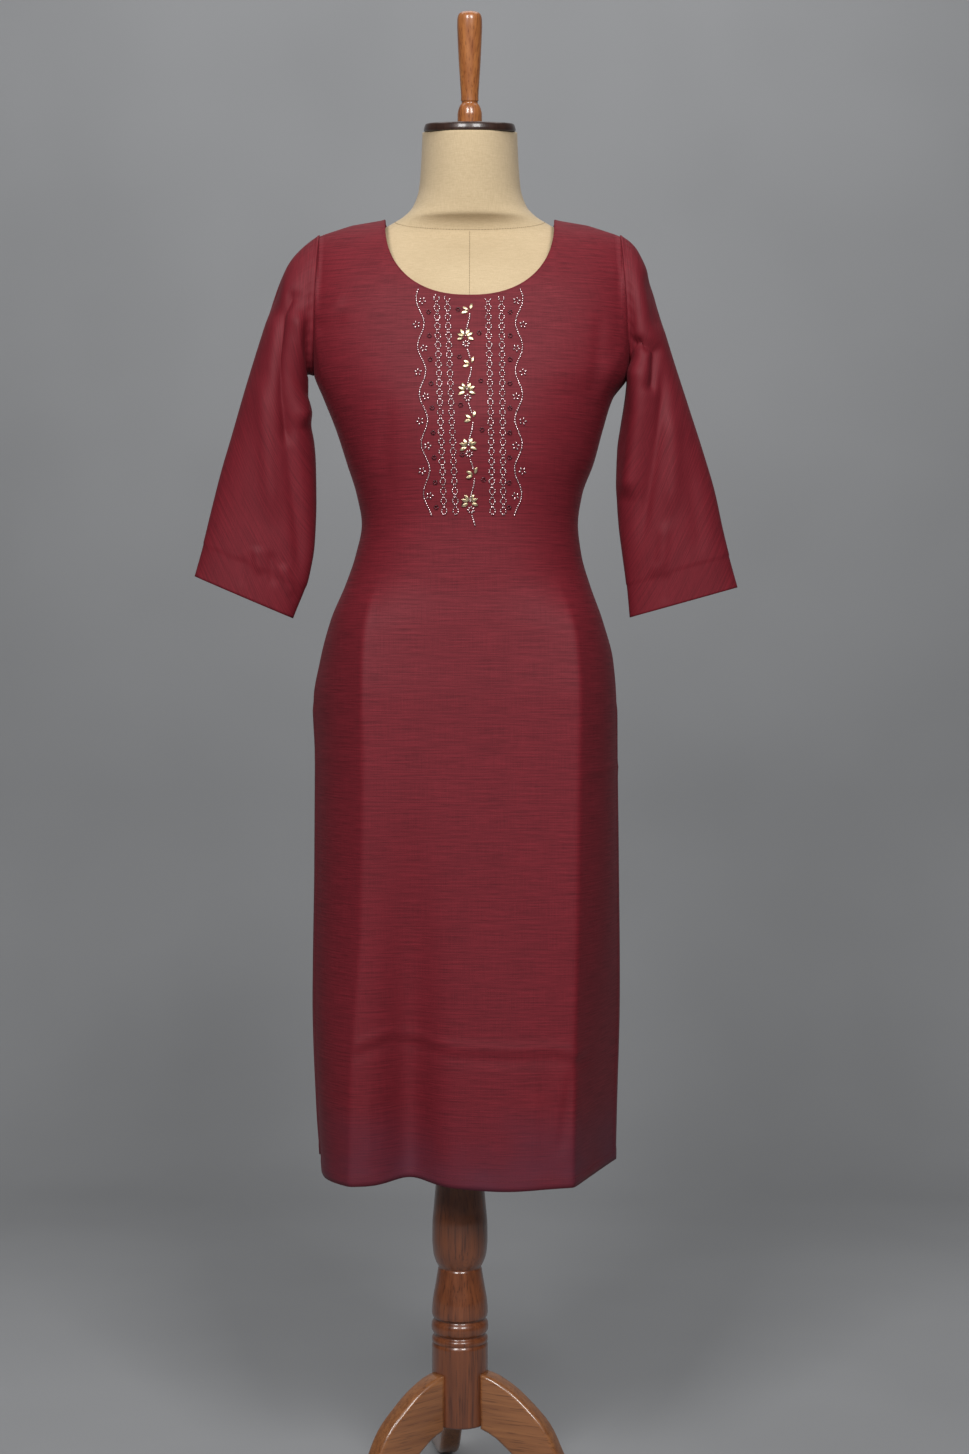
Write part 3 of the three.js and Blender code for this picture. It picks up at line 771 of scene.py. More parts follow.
class Shader:
    """A material's nodes, wired by short calls."""

    def __init__(self, name: str) -> None:
        """Starts a material with only a Principled shader.

        Args:
            name: the material's name.
        """
        self.material = bpy.data.materials.new(name)
        self.material.use_nodes = True
        self.tree = self.material.node_tree
        self.surface = self.tree.nodes["Principled BSDF"]

    def node(self, kind: str, inputs: dict[str | int, object] | None = None, **settings: object) -> bpy.types.Node:
        """Adds a node.

        Args:
            kind: the node's type, less its ShaderNode.
            inputs: values or sockets, by input name or number.
            settings: attributes of the node.

        Returns:
            The node.
        """
        made = self.tree.nodes.new("ShaderNode" + kind)
        for name, value in settings.items():
            setattr(made, name, value)
        for name, value in (inputs or {}).items():
            if isinstance(value, bpy.types.NodeSocket):
                self.tree.links.new(value, made.inputs[name])
            else:
                made.inputs[name].default_value = value
        return made

    def place(self, source: str, scale: tuple[float, float, float], turn: float = 0.0) -> bpy.types.NodeSocket:
        """Gives scaled coordinates: source is UV or Object, and turn is about Z, in radians.

        Args:
            source: which coordinates.
            scale: along each axis.
            turn: the angle.

        Returns:
            The coordinates.
        """
        coordinates = self.node("TexCoord").outputs[source]
        turned = self.node("Mapping", {"Vector": coordinates, "Rotation": (0, 0, turn)}).outputs[0]
        return self.node("Mapping", {"Vector": turned, "Scale": scale}).outputs[0]

    def noise(
        self, vector: bpy.types.NodeSocket, detail: float = 2, scale: float = 1, rough: float = 0.5
    ) -> bpy.types.NodeSocket:
        """Gives a noise value about 0.5.

        Args:
            vector: where.
            detail: octaves.
            scale: fineness.
            rough: how strong the fine octaves are.

        Returns:
            The value.
        """
        values = {"Vector": vector, "Scale": scale, "Detail": detail, "Roughness": rough}
        return self.node("TexNoise", values).outputs[0]

    def span(
        self, value: bpy.types.NodeSocket, low: float, high: float, to_low: float = 0, to_high: float = 1
    ) -> bpy.types.NodeSocket:
        """Stretches part of a value's range over another.

        Args:
            value: what is stretched.
            low: where the part starts.
            high: where it ends.
            to_low: what low becomes.
            to_high: what high becomes.

        Returns:
            The stretched value.
        """
        names = ("From Min", "From Max", "To Min", "To Max")
        values = dict(zip(names, (low, high, to_low, to_high)))
        return self.node("MapRange", {"Value": value, **values}).outputs[0]

    def math(self, operation: str, a: object, b: object) -> bpy.types.NodeSocket:
        """Combines two values.

        Args:
            operation: which sum.
            a: the first.
            b: the second.

        Returns:
            The result.
        """
        return self.node("Math", {0: a, 1: b}, operation=operation).outputs[0]

    def blend(self, share: object, a: object, b: object) -> bpy.types.NodeSocket:
        """Blends two colours.

        Args:
            share: how much of the second.
            a: the first.
            b: the second.

        Returns:
            The blend.
        """
        return self.node("Mix", {0: share, 6: a, 7: b}, data_type="RGBA").outputs[2]

    def dress(
        self,
        colour: object,
        roughness: object,
        height: bpy.types.NodeSocket | None = None,
        depth: float = 0.0002,
        **plain: object,
    ) -> bpy.types.Material:
        """Joins everything to the shader.

        Args:
            colour: base colour, a value or a socket.
            roughness: a value or a socket.
            height: relief between 0 and 1, if any.
            depth: how deep the relief is, in metres.
            plain: values for the shader's own sockets, with underscores for spaces.

        Returns:
            The material.
        """
        for name, value in {"Base Color": colour, "Roughness": roughness}.items():
            if isinstance(value, bpy.types.NodeSocket):
                self.tree.links.new(value, self.surface.inputs[name])
            else:
                self.surface.inputs[name].default_value = value
        for name, value in plain.items():
            self.surface.inputs[name.replace("_", " ")].default_value = value
        if height is not None:
            bump = self.node("Bump", {"Height": height, "Distance": depth, "Strength": 1.0})
            self.tree.links.new(bump.outputs[0], self.surface.inputs["Normal"])
        return self.material


@dataclass(frozen=True)
class ShotSilk:
    """Silk-cotton with a dark warp, a brighter weft and fine slubs across the piece; the panels can also carry
    painted shade near the hem, a purplish grey standing in for the shadowed inside seen through the thin cloth.
    """

    weft: Colour = (0.215, 0.016, 0.026, 1)
    warp: Colour = (0.085, 0.006, 0.011, 1)
    # Painted shade: the purplish grey that stands in for the shadowed inside seen through the thin cloth near the
    # hem.
    sheer: Colour = (0.10, 0.024, 0.042, 1)
    lighter: float = 1.0
    hem_tint: bool = False

    def material(self, name: str) -> bpy.types.Material:
        """Builds the finish.

        Args:
            name: the material's name.

        Returns:
            The material.
        """
        shader = Shader(name)
        slub = shader.noise(shader.place("UV", (22, 620, 1)), 3)
        fine = shader.noise(shader.place("UV", (90, 2400, 1)), 2)
        ends = shader.noise(shader.place("UV", (1500, 30, 1)), 2)
        cloud = shader.noise(shader.place("UV", (7, 5, 1)), 3)
        weave = shader.math("MULTIPLY", fine, 0.35)
        mixed = shader.math("ADD", shader.math("MULTIPLY", slub, 0.55), weave)
        mixed = shader.math("ADD", mixed, shader.math("MULTIPLY", ends, 0.2))
        share = shader.span(mixed, 0.36, 0.72)
        colour = shader.blend(share, self.warp, self.weft)
        shade = shader.span(cloud, 0.3, 0.7, 0.0, 0.16)
        colour = shader.blend(shade, colour, self.warp)
        # Painted shade: below half a metre up, the colour is blended in noisy patches towards the painted
        # see-through shade, fully from 0.42 m down to the hem.
        if self.hem_tint:
            up = shader.node("SeparateXYZ", {0: shader.node("TexCoord").outputs["UV"]})
            low = shader.span(up.outputs[1], 0.50, 0.42)
            shade_patches = shader.span(shader.noise(shader.place("UV", (9, 12, 1)), 2), 0.35, 0.6, 0.25, 0.75)
            colour = shader.blend(shader.math("MULTIPLY", low, shade_patches), colour, self.sheer)
        rough = shader.span(mixed, 0.3, 0.8, 0.68, 0.56)
        return shader.dress(
            colour, rough, mixed, 0.00022,
            Specular_IOR_Level=0.22, Sheen_Weight=0.05, Sheen_Roughness=0.35, Sheen_Tint=(0.9, 0.35, 0.42, 1),
        )


@dataclass(frozen=True)
class Linen:
    """Unbleached plain-weave linen, stretched over the form."""

    light: Colour = (0.64, 0.50, 0.315, 1)
    dark: Colour = (0.49, 0.37, 0.22, 1)

    def material(self, name: str) -> bpy.types.Material:
        """Builds the finish.

        Args:
            name: the material's name.

        Returns:
            The material.
        """
        shader = Shader(name)
        weft = shader.noise(shader.place("Object", (120, 120, 1500)), 2)
        warp = shader.noise(shader.place("Object", (1300, 1300, 90)), 2)
        weave = shader.math("ADD", shader.math("MULTIPLY", weft, 0.5), shader.math("MULTIPLY", warp, 0.5))
        cloud = shader.noise(shader.place("Object", (9, 9, 9)), 3)
        tone = shader.math("ADD", shader.span(weave, 0.35, 0.65, 0, 0.6), shader.span(cloud, 0.35, 0.65, 0, 0.3))
        return shader.dress(
            shader.blend(tone, self.dark, self.light), 0.9, weave, 0.0003, Sheen_Weight=0.15, Specular_IOR_Level=0.25
        )


@dataclass(frozen=True)
class LacqueredWood:
    """Close-grained wood under a clear coat."""

    light: Colour
    dark: Colour
    turn: float = 0.0
    lengthwise: bool = False
    coat: float = 0.8

    def material(self, name: str) -> bpy.types.Material:
        """Builds the finish.

        Args:
            name: the material's name.

        Returns:
            The material.
        """
        shader = Shader(name)
        along, across = 7.0, 150.0
        scale = (along, across, across) if self.lengthwise else (across, across, along)
        grain = shader.noise(shader.place("Object", scale, self.turn), 5, 1, 0.65)
        pore_scale = tuple(4 * s for s in scale)
        pores = shader.noise(shader.place("Object", pore_scale, self.turn), 2)
        cloud = shader.noise(shader.place("Object", tuple(0.12 * s + 4 for s in scale), self.turn), 2)
        tone = shader.math("ADD", shader.span(grain, 0.35, 0.65, 0, 0.7), shader.span(cloud, 0.35, 0.65, 0, 0.3))
        colour = shader.blend(tone, self.dark, self.light)
        pits = shader.span(pores, 0.36, 0.42, 0.45, 0.0)
        colour = shader.blend(pits, colour, tuple(0.4 * c for c in self.dark[:3]) + (1,))
        rough = shader.span(grain, 0.3, 0.7, 0.30, 0.42)
        return shader.dress(
            colour, rough, pores, 0.00008, Coat_Weight=self.coat, Coat_Roughness=0.12, Specular_IOR_Level=0.5
        )


@dataclass(frozen=True)
class Bead:
    """Glass or metal of the beadwork, a little uneven."""

    light: Colour
    dark: Colour
    metal: float
    roughness: float

    def material(self, name: str) -> bpy.types.Material:
        """Builds the finish.

        Args:
            name: the material's name.

        Returns:
            The material.
        """
        shader = Shader(name)
        uneven = shader.noise(shader.place("Object", (420, 420, 420)), 2)
        share = shader.span(uneven, 0.38, 0.62)
        rough = shader.span(uneven, 0.35, 0.65, self.roughness, self.roughness + 0.15)
        colour = shader.blend(share, self.dark, self.light)
        return shader.dress(
            colour, rough, uneven, 0.0001, Metallic=self.metal, Coat_Weight=0.5, Coat_Roughness=0.08
        )


@dataclass(frozen=True)
class Plain:
    """A quiet matt finish with faint mottling, for the studio and for thread."""

    colour: Colour
    roughness: float = 0.9
    grain: float = 3.0

    def material(self, name: str) -> bpy.types.Material:
        """Builds the finish.

        Args:
            name: the material's name.

        Returns:
            The material.
        """
        shader = Shader(name)
        mottle = shader.noise(shader.place("Object", (self.grain,) * 3), 3)
        deeper = tuple(0.88 * c for c in self.colour[:3]) + (1,)
        return shader.dress(shader.blend(shader.span(mottle, 0.35, 0.65), deeper, self.colour), self.roughness)


def make_finishes() -> Shades:
    """Builds every finish of the garment and its stand.

    Returns:
        The materials by name.
    """
    leg = {"light": (0.36, 0.145, 0.05, 1), "dark": (0.20, 0.07, 0.024, 1), "lengthwise": True}
    finishes = {
        # The panels carry the painted see-through shade near the hem.
        "silk_panel": ShotSilk(hem_tint=True),
        "silk_sleeve": ShotSilk(),
        "silk_thread": Plain((0.16, 0.014, 0.024, 1), 0.6, 300),
        "seam_thread": Plain((0.36, 0.27, 0.16, 1), 0.9, 300),
        "linen": Linen(),
        "cap_wood": LacqueredWood((0.05, 0.02, 0.012, 1), (0.022, 0.009, 0.006, 1), coat=0.5),
        "handle_wood": LacqueredWood((0.46, 0.17, 0.045, 1), (0.24, 0.07, 0.02, 1)),
        "post_wood": LacqueredWood((0.22, 0.062, 0.018, 1), (0.10, 0.026, 0.009, 1)),
        "leg_left_wood": LacqueredWood(turn=math.radians(23), **leg),
        "leg_right_wood": LacqueredWood(turn=math.radians(-217), **leg),
        "leg_back_wood": LacqueredWood(turn=math.radians(-97), **leg),
        "cut_bead": Bead((0.95, 0.78, 0.78, 1), (0.55, 0.36, 0.38, 1), 0.85, 0.16),
        "gold_leaf": Bead((0.80, 0.66, 0.42, 1), (0.52, 0.40, 0.24, 1), 0.9, 0.26),
        "dark_bead": Bead((0.14, 0.02, 0.03, 1), (0.05, 0.006, 0.01, 1), 0.3, 0.2),
    }
    return {name: finish.material(name) for name, finish in finishes.items()}


# ---- the kurta -------------------------------------------------------------------------------------------------


@dataclass
class Kurta:
    """The garment: two panels, two sleeves, their edges and stitching, and the beadwork of the yoke."""

    shape: WornShape
    shades: Shades
    half_columns: tuple[int, int, int] = (22, 12, 32)
    rows_below: int = 150
    rows_above: int = 62
    wall: float = 0.9
    hem_depth: float = 12
    slit_hem: float = 10
    cuff_hem: float = 39

    def panel_grid(self, side: Side) -> np.ndarray:
        """Lays out a panel from the wearer's right side seam to the left one.

        Args:
            side: the panel.

        Returns:
            Its points by column and row.
        """
        shape = self.shape
        arm, shoulder, neck = self.half_columns
        half = arm + shoulder + neck
        grid = []
        for i in range(2 * half + 1):
            hand = Hand.RIGHT if i <= half else Hand.LEFT
            column = i if i <= half else 2 * half - i
            low = hand.value * (1 - column / half)
            pull = 0.0
            if column <= arm:
                top = shape.armhole(side, hand, 1 - column / arm)
                x, z, y = top[0], top[2], top[1]
            elif column <= arm + shoulder:
                x = hand.value * float(mix(shape.tip[0], shape.neck_half, (column - arm) / shoulder))
                z, y = float(shape.shoulder_z(x)), -side.value * shape.gap / 2
            else:
                x, z = shape.neckline(side, hand, ((column - arm - shoulder) / neck) ** 1.5)
                y = None
            high = float(shape.girth_share(x, z))
            if y is not None:
                pull = y - float(shape.point(side, high, z)[1])
            t = 1 - (1 - np.arange(1, self.rows_above + 1) / self.rows_above) ** 1.5
            z_low = np.linspace(shape.hem_z, shape.fan_z, self.rows_below + 1)
            u_all = np.concatenate([np.full(len(z_low), low), mix(low, high, smooth(t) * 0.6 + t * 0.4)])
            z_all = np.concatenate([z_low, mix(shape.fan_z, z, t)])
            line = shape.point(side, u_all, z_all)
            line[len(z_low):, 1] += pull * t**3
            grid.append(line)
        return np.array(grid)

    def panel_relief(self, side: Side, grid: np.ndarray) -> np.ndarray:
        """Works out the folds, turned hems and drawn-in seams of a panel.

        Args:
            side: the panel.
            grid: its plain points.

        Returns:
            The lift at each point.
        """
        x, z = grid[..., 0], grid[..., 2]
        folds = FRONT_FOLDS if side is Side.FRONT else BACK_FOLDS
        lift = sum(fold.relief(x, z) for fold in folds)
        lift = lift + 0.5 * smooth((self.hem_depth - (z - self.shape.hem_z)) / 1.2 + 0.5)
        for edge in (grid[:1], grid[-1:]):
            away = np.linalg.norm(grid - edge, axis=-1)
            slit = smooth((self.shape.slit_top_z - z) / 12)
            lift = lift + 0.4 * slit * smooth((self.slit_hem - away) / 1.2 + 0.5)
            lift = lift - 0.9 * (1 - slit) * np.exp(-((away / 3) ** 2)) * (z < self.shape.underarm_z + 2)
        arm, shoulder, _ = self.half_columns
        top = grid[:, -1]
        for part in (top[: arm + shoulder + 1], top[-(arm + shoulder + 1):]):
            away = np.min(np.linalg.norm(grid[:, :, None, :] - part[None, None], axis=-1), axis=2)
            lift = lift - 0.8 * np.exp(-((away / 2.5) ** 2))
        neck = top[arm + shoulder: len(top) - arm - shoulder]
        away = np.min(np.linalg.norm(grid[:, :, None, :] - neck[None, None], axis=-1), axis=2)
        return lift + 0.7 * np.exp(-((away / 2.2) ** 2))

    def hem_drop(self, side: Side, grid: np.ndarray) -> np.ndarray:
        """Lets the hem rise in its deep fold and dip beside it, fading upwards.

        Args:
            side: the panel.
            grid: its plain points.

        Returns:
            The rise at each point.
        """
        x, z = grid[..., 0], grid[..., 2]
        fold_x = -68 if side is Side.FRONT else 55
        drop = 4 * np.exp(-(((x - fold_x) / 26) ** 2)) - 4 * np.exp(-(((x - 40) / 60) ** 2))
        return drop * np.clip(1 - (z - self.shape.hem_z) / 220, 0, 1)

    def make_panel(self, side: Side) -> tuple[bpy.types.Object, np.ndarray]:
        """Builds the front or the back.

        Args:
            side: the panel.

        Returns:
            The piece, and its finished points.
        """
        grid = self.panel_grid(side)
        grid[..., 2] += self.hem_drop(side, grid)
        normal = outward(grid) * side.value
        grid = grid + normal * self.panel_relief(side, grid)[..., None]
        step = np.linalg.norm(np.diff(grid, axis=0), axis=-1)
        girth = np.concatenate([np.zeros((1, grid.shape[1])), np.cumsum(step, axis=0)])
        middle = girth[grid.shape[0] // 2]
        uv = np.stack([girth - middle, grid[..., 2]], -1) * MM
        bm = sheet_mesh(grid, uv, False, side is Side.BACK)
        name = f"kurta_{side.name.lower()}_cloth"
        piece = keep(name, bm, self.shades["silk_panel"])
        thicken(piece, self.wall)
        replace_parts(piece, f"kurta_{side.name.lower()}")
        return piece, grid

    def sleeve_grid(self, hand: Hand) -> tuple[np.ndarray, np.ndarray]:
        """Lays out a sleeve from its armhole to its cuff.

        Args:
            hand: the side of the wearer.

        Returns:
            Its points by place round the arm and along it, and the cloth's own metres there.
        """
        around, along = 112, 150
        table = Eased(RIGHT_SLEEVE if hand is Hand.RIGHT else LEFT_SLEEVE, "share")
        angle = np.linspace(0, 2 * math.pi, around + 1)[:, None]
        share = np.linspace(0, 1, along + 1)[None, :]
        row = table.at(share)
        power = mix(2.0, 1.9, smooth(share * 3))
        cosine, sine = np.cos(angle), np.sin(angle)
        across = (np.sign(cosine) * np.abs(cosine) ** (2 / power) + 1) / 2
        depth = np.where(sine >= 0, row["front"], row["back"]) * np.sign(sine) * np.abs(sine) ** (2 / power)
        x = mix(row["inner_x"], row["outer_x"], across) + hand.value * self.shape.gap * (share == 0)
        z = mix(row["inner_z"], row["outer_z"], across)
        grid = np.stack(np.broadcast_arrays(x, -depth, z), -1)
        normal = outward(grid, True) * (-1 if hand is Hand.LEFT else 1)
        front = smooth(sine * 2.5 + 0.5)
        folds = RIGHT_FOLDS if hand is Hand.RIGHT else LEFT_FOLDS
        lift = front * sum(fold.relief(x, z) for fold in folds)
        lift = lift - 0.55 * (1 - front) * sum(fold.relief(x, z + 14) for fold in folds)
        length = np.concatenate(
            [np.zeros((around + 1, 1)), np.cumsum(np.linalg.norm(np.diff(grid, axis=1), axis=-1), axis=1)], axis=1
        )
        to_cuff = length[:, -1:] - length
        lift = lift * smooth(length / 14) * (0.35 + 0.65 * smooth(to_cuff / 60))
        lift = lift + 0.6 * smooth((self.cuff_hem - to_cuff) / 1.5 + 0.5)
        lift = lift - 0.8 * np.exp(-((length / 2.5) ** 2)) * (length > 0)
        pucker = 0.5 * np.sin(angle * 34) * np.exp(-(((length - 7) / 6) ** 2))
        grid = grid + normal * (lift + pucker)[..., None]
        step = np.linalg.norm(np.diff(grid, axis=0), axis=-1)
        girth = np.concatenate([np.zeros((1, along + 1)), np.cumsum(step, axis=0)])
        return grid, np.stack([girth, -length], -1) * MM

    def make_sleeve(self, hand: Hand) -> tuple[bpy.types.Object, np.ndarray]:
        """Builds a sleeve.

        Args:
            hand: the side of the wearer.

        Returns:
            The piece, and its finished points.
        """
        grid, uv = self.sleeve_grid(hand)
        bm = sheet_mesh(grid, uv, True, hand is Hand.LEFT)
        node = f"sleeve_{hand.name.lower()}"
        piece = keep(node + "_cloth", bm, self.shades["silk_sleeve"])
        thicken(piece, self.wall)
        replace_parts(piece, node)
        return piece, grid

    def stitch_spots(self, line: np.ndarray, normals: np.ndarray, pitch: float = 3.2) -> list[Matrix]:
        """Spaces stitches along a line on the cloth.

        Args:
            line: points on the surface.
            normals: the way the surface faces at each.
            pitch: from one stitch to the next.

        Returns:
            Where each stitch goes.
        """
        length = np.concatenate([[0], np.cumsum(np.linalg.norm(np.diff(line, axis=0), axis=1))])
        spots = []
        for at in np.arange(pitch, length[-1] - pitch, pitch):
            point, ahead = (Vector([np.interp(at + d, length, line[:, k]) for k in range(3)]) for d in (0, 1.0))
            normal = Vector([np.interp(at, length, normals[:, k]) for k in range(3)]).normalized()
            spots.append(spot_on(point, normal, ahead - point, 0.1))
        return spots

    def make_stitching(self, panels: dict[Side, np.ndarray], sleeves: dict[Hand, np.ndarray]) -> None:
        """Sews the hems, slit edges and cuffs.

        Args:
            panels: finished points of the front and back.
            sleeves: finished points of the sleeves.
        """
        spots: list[Matrix] = []
        for side, grid in panels.items():
            normal = outward(grid) * side.value
            rise = np.abs(grid[:, :12, 2] - self.shape.hem_z - self.hem_depth + 1)
            row = int(np.argmin(rise.mean(axis=0)))
            spots += self.stitch_spots(grid[2:-2, row], normal[2:-2, row])
            slit_rows = int(np.searchsorted(grid[0, :, 2], self.shape.slit_top_z))
            for edge, inner in ((0, range(1, 9)), (-1, range(-2, -10, -1))):
                away = [np.linalg.norm(grid[k, :slit_rows] - grid[edge, :slit_rows], axis=1).mean() for k in inner]
                column = list(inner)[int(np.argmin(np.abs(np.array(away) - self.slit_hem + 1)))]
                spots += self.stitch_spots(grid[column, row:slit_rows], normal[column, row:slit_rows])
        for hand, grid in sleeves.items():
            normal = outward(grid, True) * (-1 if hand is Hand.LEFT else 1)
            length = np.cumsum(np.linalg.norm(np.diff(grid, axis=1), axis=-1)[:, ::-1], axis=1)[:, ::-1].mean(axis=0)
            for inset in (self.cuff_hem - 1.5, self.cuff_hem - 5.5):
                row = int(np.argmin(np.abs(length - inset)))
                spots += self.stitch_spots(grid[:, row], normal[:, row])
        stamped("kurta_stitching", rod_shape(0.28, 2.3), spots, self.shades["silk_thread"])

    def make(self) -> None:
        """Builds the whole garment and works out the flat size and area of each sheet's cut."""
        panels, sleeves, pieces = {}, {}, {}
        for side in Side:
            pieces[side], panels[side] = self.make_panel(side)
        for hand in Hand:
            pieces[hand], sleeves[hand] = self.make_sleeve(hand)
        self.make_stitching(panels, sleeves)
        Yoke(self.shape, self.shades).make()
        for side in Side:
            cut = FRONT_CUT if side is Side.FRONT else BACK_CUT
            cut.flat()
            cut.area()
        cut = SLEEVE_CUT
        for hand in Hand:
            cut.flat()
            cut.area()


@dataclass(frozen=True)
class Cut:
    """A flat cut: bands of low width, high width and length in metres, less what is scooped out."""

    bands: tuple[tuple[float, float, float], ...]
    scooped: float = 0.0

    def flat(self) -> tuple[float, float]:
        """Gives the widest width and the whole length.

        Returns:
            The two, in metres.
        """
        return max(max(low, high) for low, high, _ in self.bands), round(sum(band[2] for band in self.bands), 3)

    def area(self) -> float:
        """Adds up the bands, less the scoop, in square metres.

        Returns:
            The area.
        """
        return round(sum((low + high) / 2 * length for low, high, length in self.bands) - self.scooped, 3)


FRONT_CUT = Cut(((0.52, 0.52, 0.56), (0.52, 0.39, 0.205), (0.39, 0.47, 0.18), (0.39, 0.36, 0.16)), 0.016)
BACK_CUT = Cut(((0.52, 0.52, 0.56), (0.52, 0.37, 0.205), (0.37, 0.45, 0.18), (0.39, 0.36, 0.16)), 0.012)
SLEEVE_CUT = Cut(((0.27, 0.38, 0.30), (0.38, 0.08, 0.10)), 0.0)


@dataclass
class Yoke:
    """Beadwork down the chest: bead chains, waving lines with flowers, and a stem of gilt leaves."""

    shape: WornShape
    shades: Shades
    top_z: float = 1404
    bottom_z: float = 1160
    link: float = 10.4
    link_half: float = 3.6
    wave: float = 55
    motif: float = 62
    chains: tuple[tuple[float, float], ...] = ((-37, -28), (-25, -15), (21, 26), (36, 38))
    waves: tuple[tuple[float, float], ...] = ((-56, -46), (56, 54))
    stem: tuple[float, float] = (-3, 4)

    def __post_init__(self) -> None:
        """Starts the lists of places and the seeded choice of small variations."""
        self.random = random.Random(11)
        self.cut: list[Matrix] = []
        self.gold: list[Matrix] = []
        self.dark: list[Matrix] = []

    def lean(self, ends: tuple[float, float], z: float) -> float:
        """Gives a column's x at a height, between its top and its bottom.

        Args:
            ends: x at the top and at the bottom.
            z: the height.

        Returns:
            The x.
        """
        return float(mix(ends[0], ends[1], (self.top_z - z) / (self.top_z - self.bottom_z)))

    def clear(self, x: float, z: float) -> bool:
        """Tells whether a place lies on the cloth, below the neckline.

        Args:
            x: distance from the axis.
            z: height.

        Returns:
            True where it does.
        """
        out = min(abs(x) / self.shape.neck_half, 1.0)
        drop = 99 * (1 - out**self.shape.neck_power) ** (1 / self.shape.neck_power)
        return z < self.shape.neck_top_z - drop - 5

    def lay(self, places: list[Matrix], x: float, z: float, heading: float, lift: float, size: float = 1.0) -> None:
        """Puts one bead or leaf on the chest.

        Args:
            places: the list that it joins.
            x: distance from the axis.
            z: height.
            heading: its angle from level, in radians.
            lift: how far its centre stands off the cloth.
            size: its scale.
        """
        if not self.clear(x, z):
            return
        point, normal = self.shape.on_front(x, z)
        tilt = Vector([self.random.uniform(-0.16, 0.16) for _ in range(3)])
        facing = (normal + tilt).normalized()
        ahead = Vector((math.cos(heading), 0, math.sin(heading)))
        places.append(spot_on(point, facing, ahead, lift) @ Matrix.Scale(size, 4))

    def line(self, along: Callable[[float], float], top: float, bottom: float, pitch: float) -> None:
        """Strings cut beads down a waving line.

        Args:
            along: the line's x at a height.
            top: where it starts.
            bottom: where it ends.
            pitch: from one bead to the next.
        """
        z = top
        while z > bottom:
            slope = (along(z - 0.5) - along(z + 0.5)) / 1.0
            self.lay(self.cut, along(z), z, math.atan2(-1, slope), 1.1, self.random.uniform(0.85, 1.1))
            z -= pitch / math.hypot(1, slope)

    def flower(self, x: float, z: float, petals: int = 5) -> None:
        """Sews a small flower of cut beads round a gap.

        Args:
            x: distance from the axis.
            z: height.
            petals: how many beads.
        """
        turn = self.random.uniform(0, 6)
        for k in range(petals):
            angle = turn + k * 2 * math.pi / petals
            self.lay(self.cut, x + 3.1 * math.cos(angle), z + 3.1 * math.sin(angle), angle, 1.2, 1.1)

    def rosette(self, x: float, z: float) -> None:
        """Sews a small ring of dark beads.

        Args:
            x: distance from the axis.
            z: height.
        """
        for k in range(6):
            angle = k * math.pi / 3
            self.lay(self.dark, x + 2.0 * math.cos(angle), z + 2.0 * math.sin(angle), angle + math.pi / 2, 1.0)

    def chain(self, ends: tuple[float, float]) -> None:
        """Sews a chain of diamonds, two beads to a side.

        Args:
            ends: x at the top and at the bottom.
        """
        z = self.top_z + 6
        while z > self.bottom_z + self.link / 2:
            for side in (-1, 1):
                for k, part in enumerate((0.14, 0.38, 0.62, 0.86)):
                    across = side * self.link_half * (1 - abs(2 * part - 1))
                    heading = math.atan2(-self.link / 2, side * self.link_half * (1 if k < 2 else -1))
                    height = z - part * self.link
                    x = self.lean(ends, height) + across
                    self.lay(self.cut, x, height, heading, 1.1, self.random.uniform(0.8, 1.0))
            z -= self.link + 0.5

    def spray(self, x: float, z: float, angles: Sequence[float], length: float) -> None:
        """Sews gilt leaves that fan out from one point.

        Args:
            x: distance from the axis.
            z: height.
            angles: each leaf's heading, in degrees.
            length: the leaves' scale.
        """
        for degrees in angles:
            angle = math.radians(degrees)
            leaf_x, leaf_z = x + 2.2 * math.cos(angle), z + 2.2 * math.sin(angle)
            self.lay(self.gold, leaf_x, leaf_z, angle, 1.0, length * self.random.uniform(0.92, 1.05))

    def make(self) -> None:
        """Builds the beadwork."""
        for ends in self.chains:
            self.chain(ends)
        for side, ends in zip((-1, 1), self.waves):
            def waving(z: float, ends: tuple[float, float] = ends, side: int = side) -> float:
                """Gives the waving line's x at a height."""
                return self.lean(ends, z) + side * 4 * math.cos((self.top_z - z) / self.wave * 2 * math.pi)

            self.line(waving, self.top_z + 16, self.bottom_z, 2.7)
            for k in range(9):
                z = self.top_z - 2 - k * self.wave / 2
                self.flower(waving(z) + side * (8.5 if k % 2 else -6.75), z)
                self.rosette(self.lean(ends, z) - side * 10, z - 13)
        for k in range(9):
            z = self.top_z - 12 - k * self.wave / 2
            self.rosette(self.lean(self.stem, z) + (13 if k % 2 else -10), z)

        def stem(z: float) -> float:
            """Gives the stem's x at a height."""
            return self.lean(self.stem, z) + 3 * math.sin((self.top_z - z) / self.motif * 2 * math.pi)

        for k in range(4):
            top = self.top_z - 14 - k * self.motif
            self.spray(stem(top), top, (150, 75, 195), 0.95)
            node = top - 30
            self.line(stem, top - 4, node, 2.5)
            self.spray(stem(node), node, (158, 122, 64, 30, 205, -20), 1.0)
            self.flower(stem(node) + 1, node - 8, 7)
            self.line(stem, node - 15, node - 26, 2.5)
        stamped("yoke_cut_beads", rod_shape(0.85, 2.5, 8), self.cut, self.shades["cut_bead"])
        stamped("yoke_leaves", leaf_shape(8.0, 4.2, 1.2), self.gold, self.shades["gold_leaf"])
        stamped("yoke_dark_beads", rod_shape(0.8, 1.9, 8), self.dark, self.shades["dark_bead"])


# ---- the dress form and its stand ------------------------------------------------------------------------------


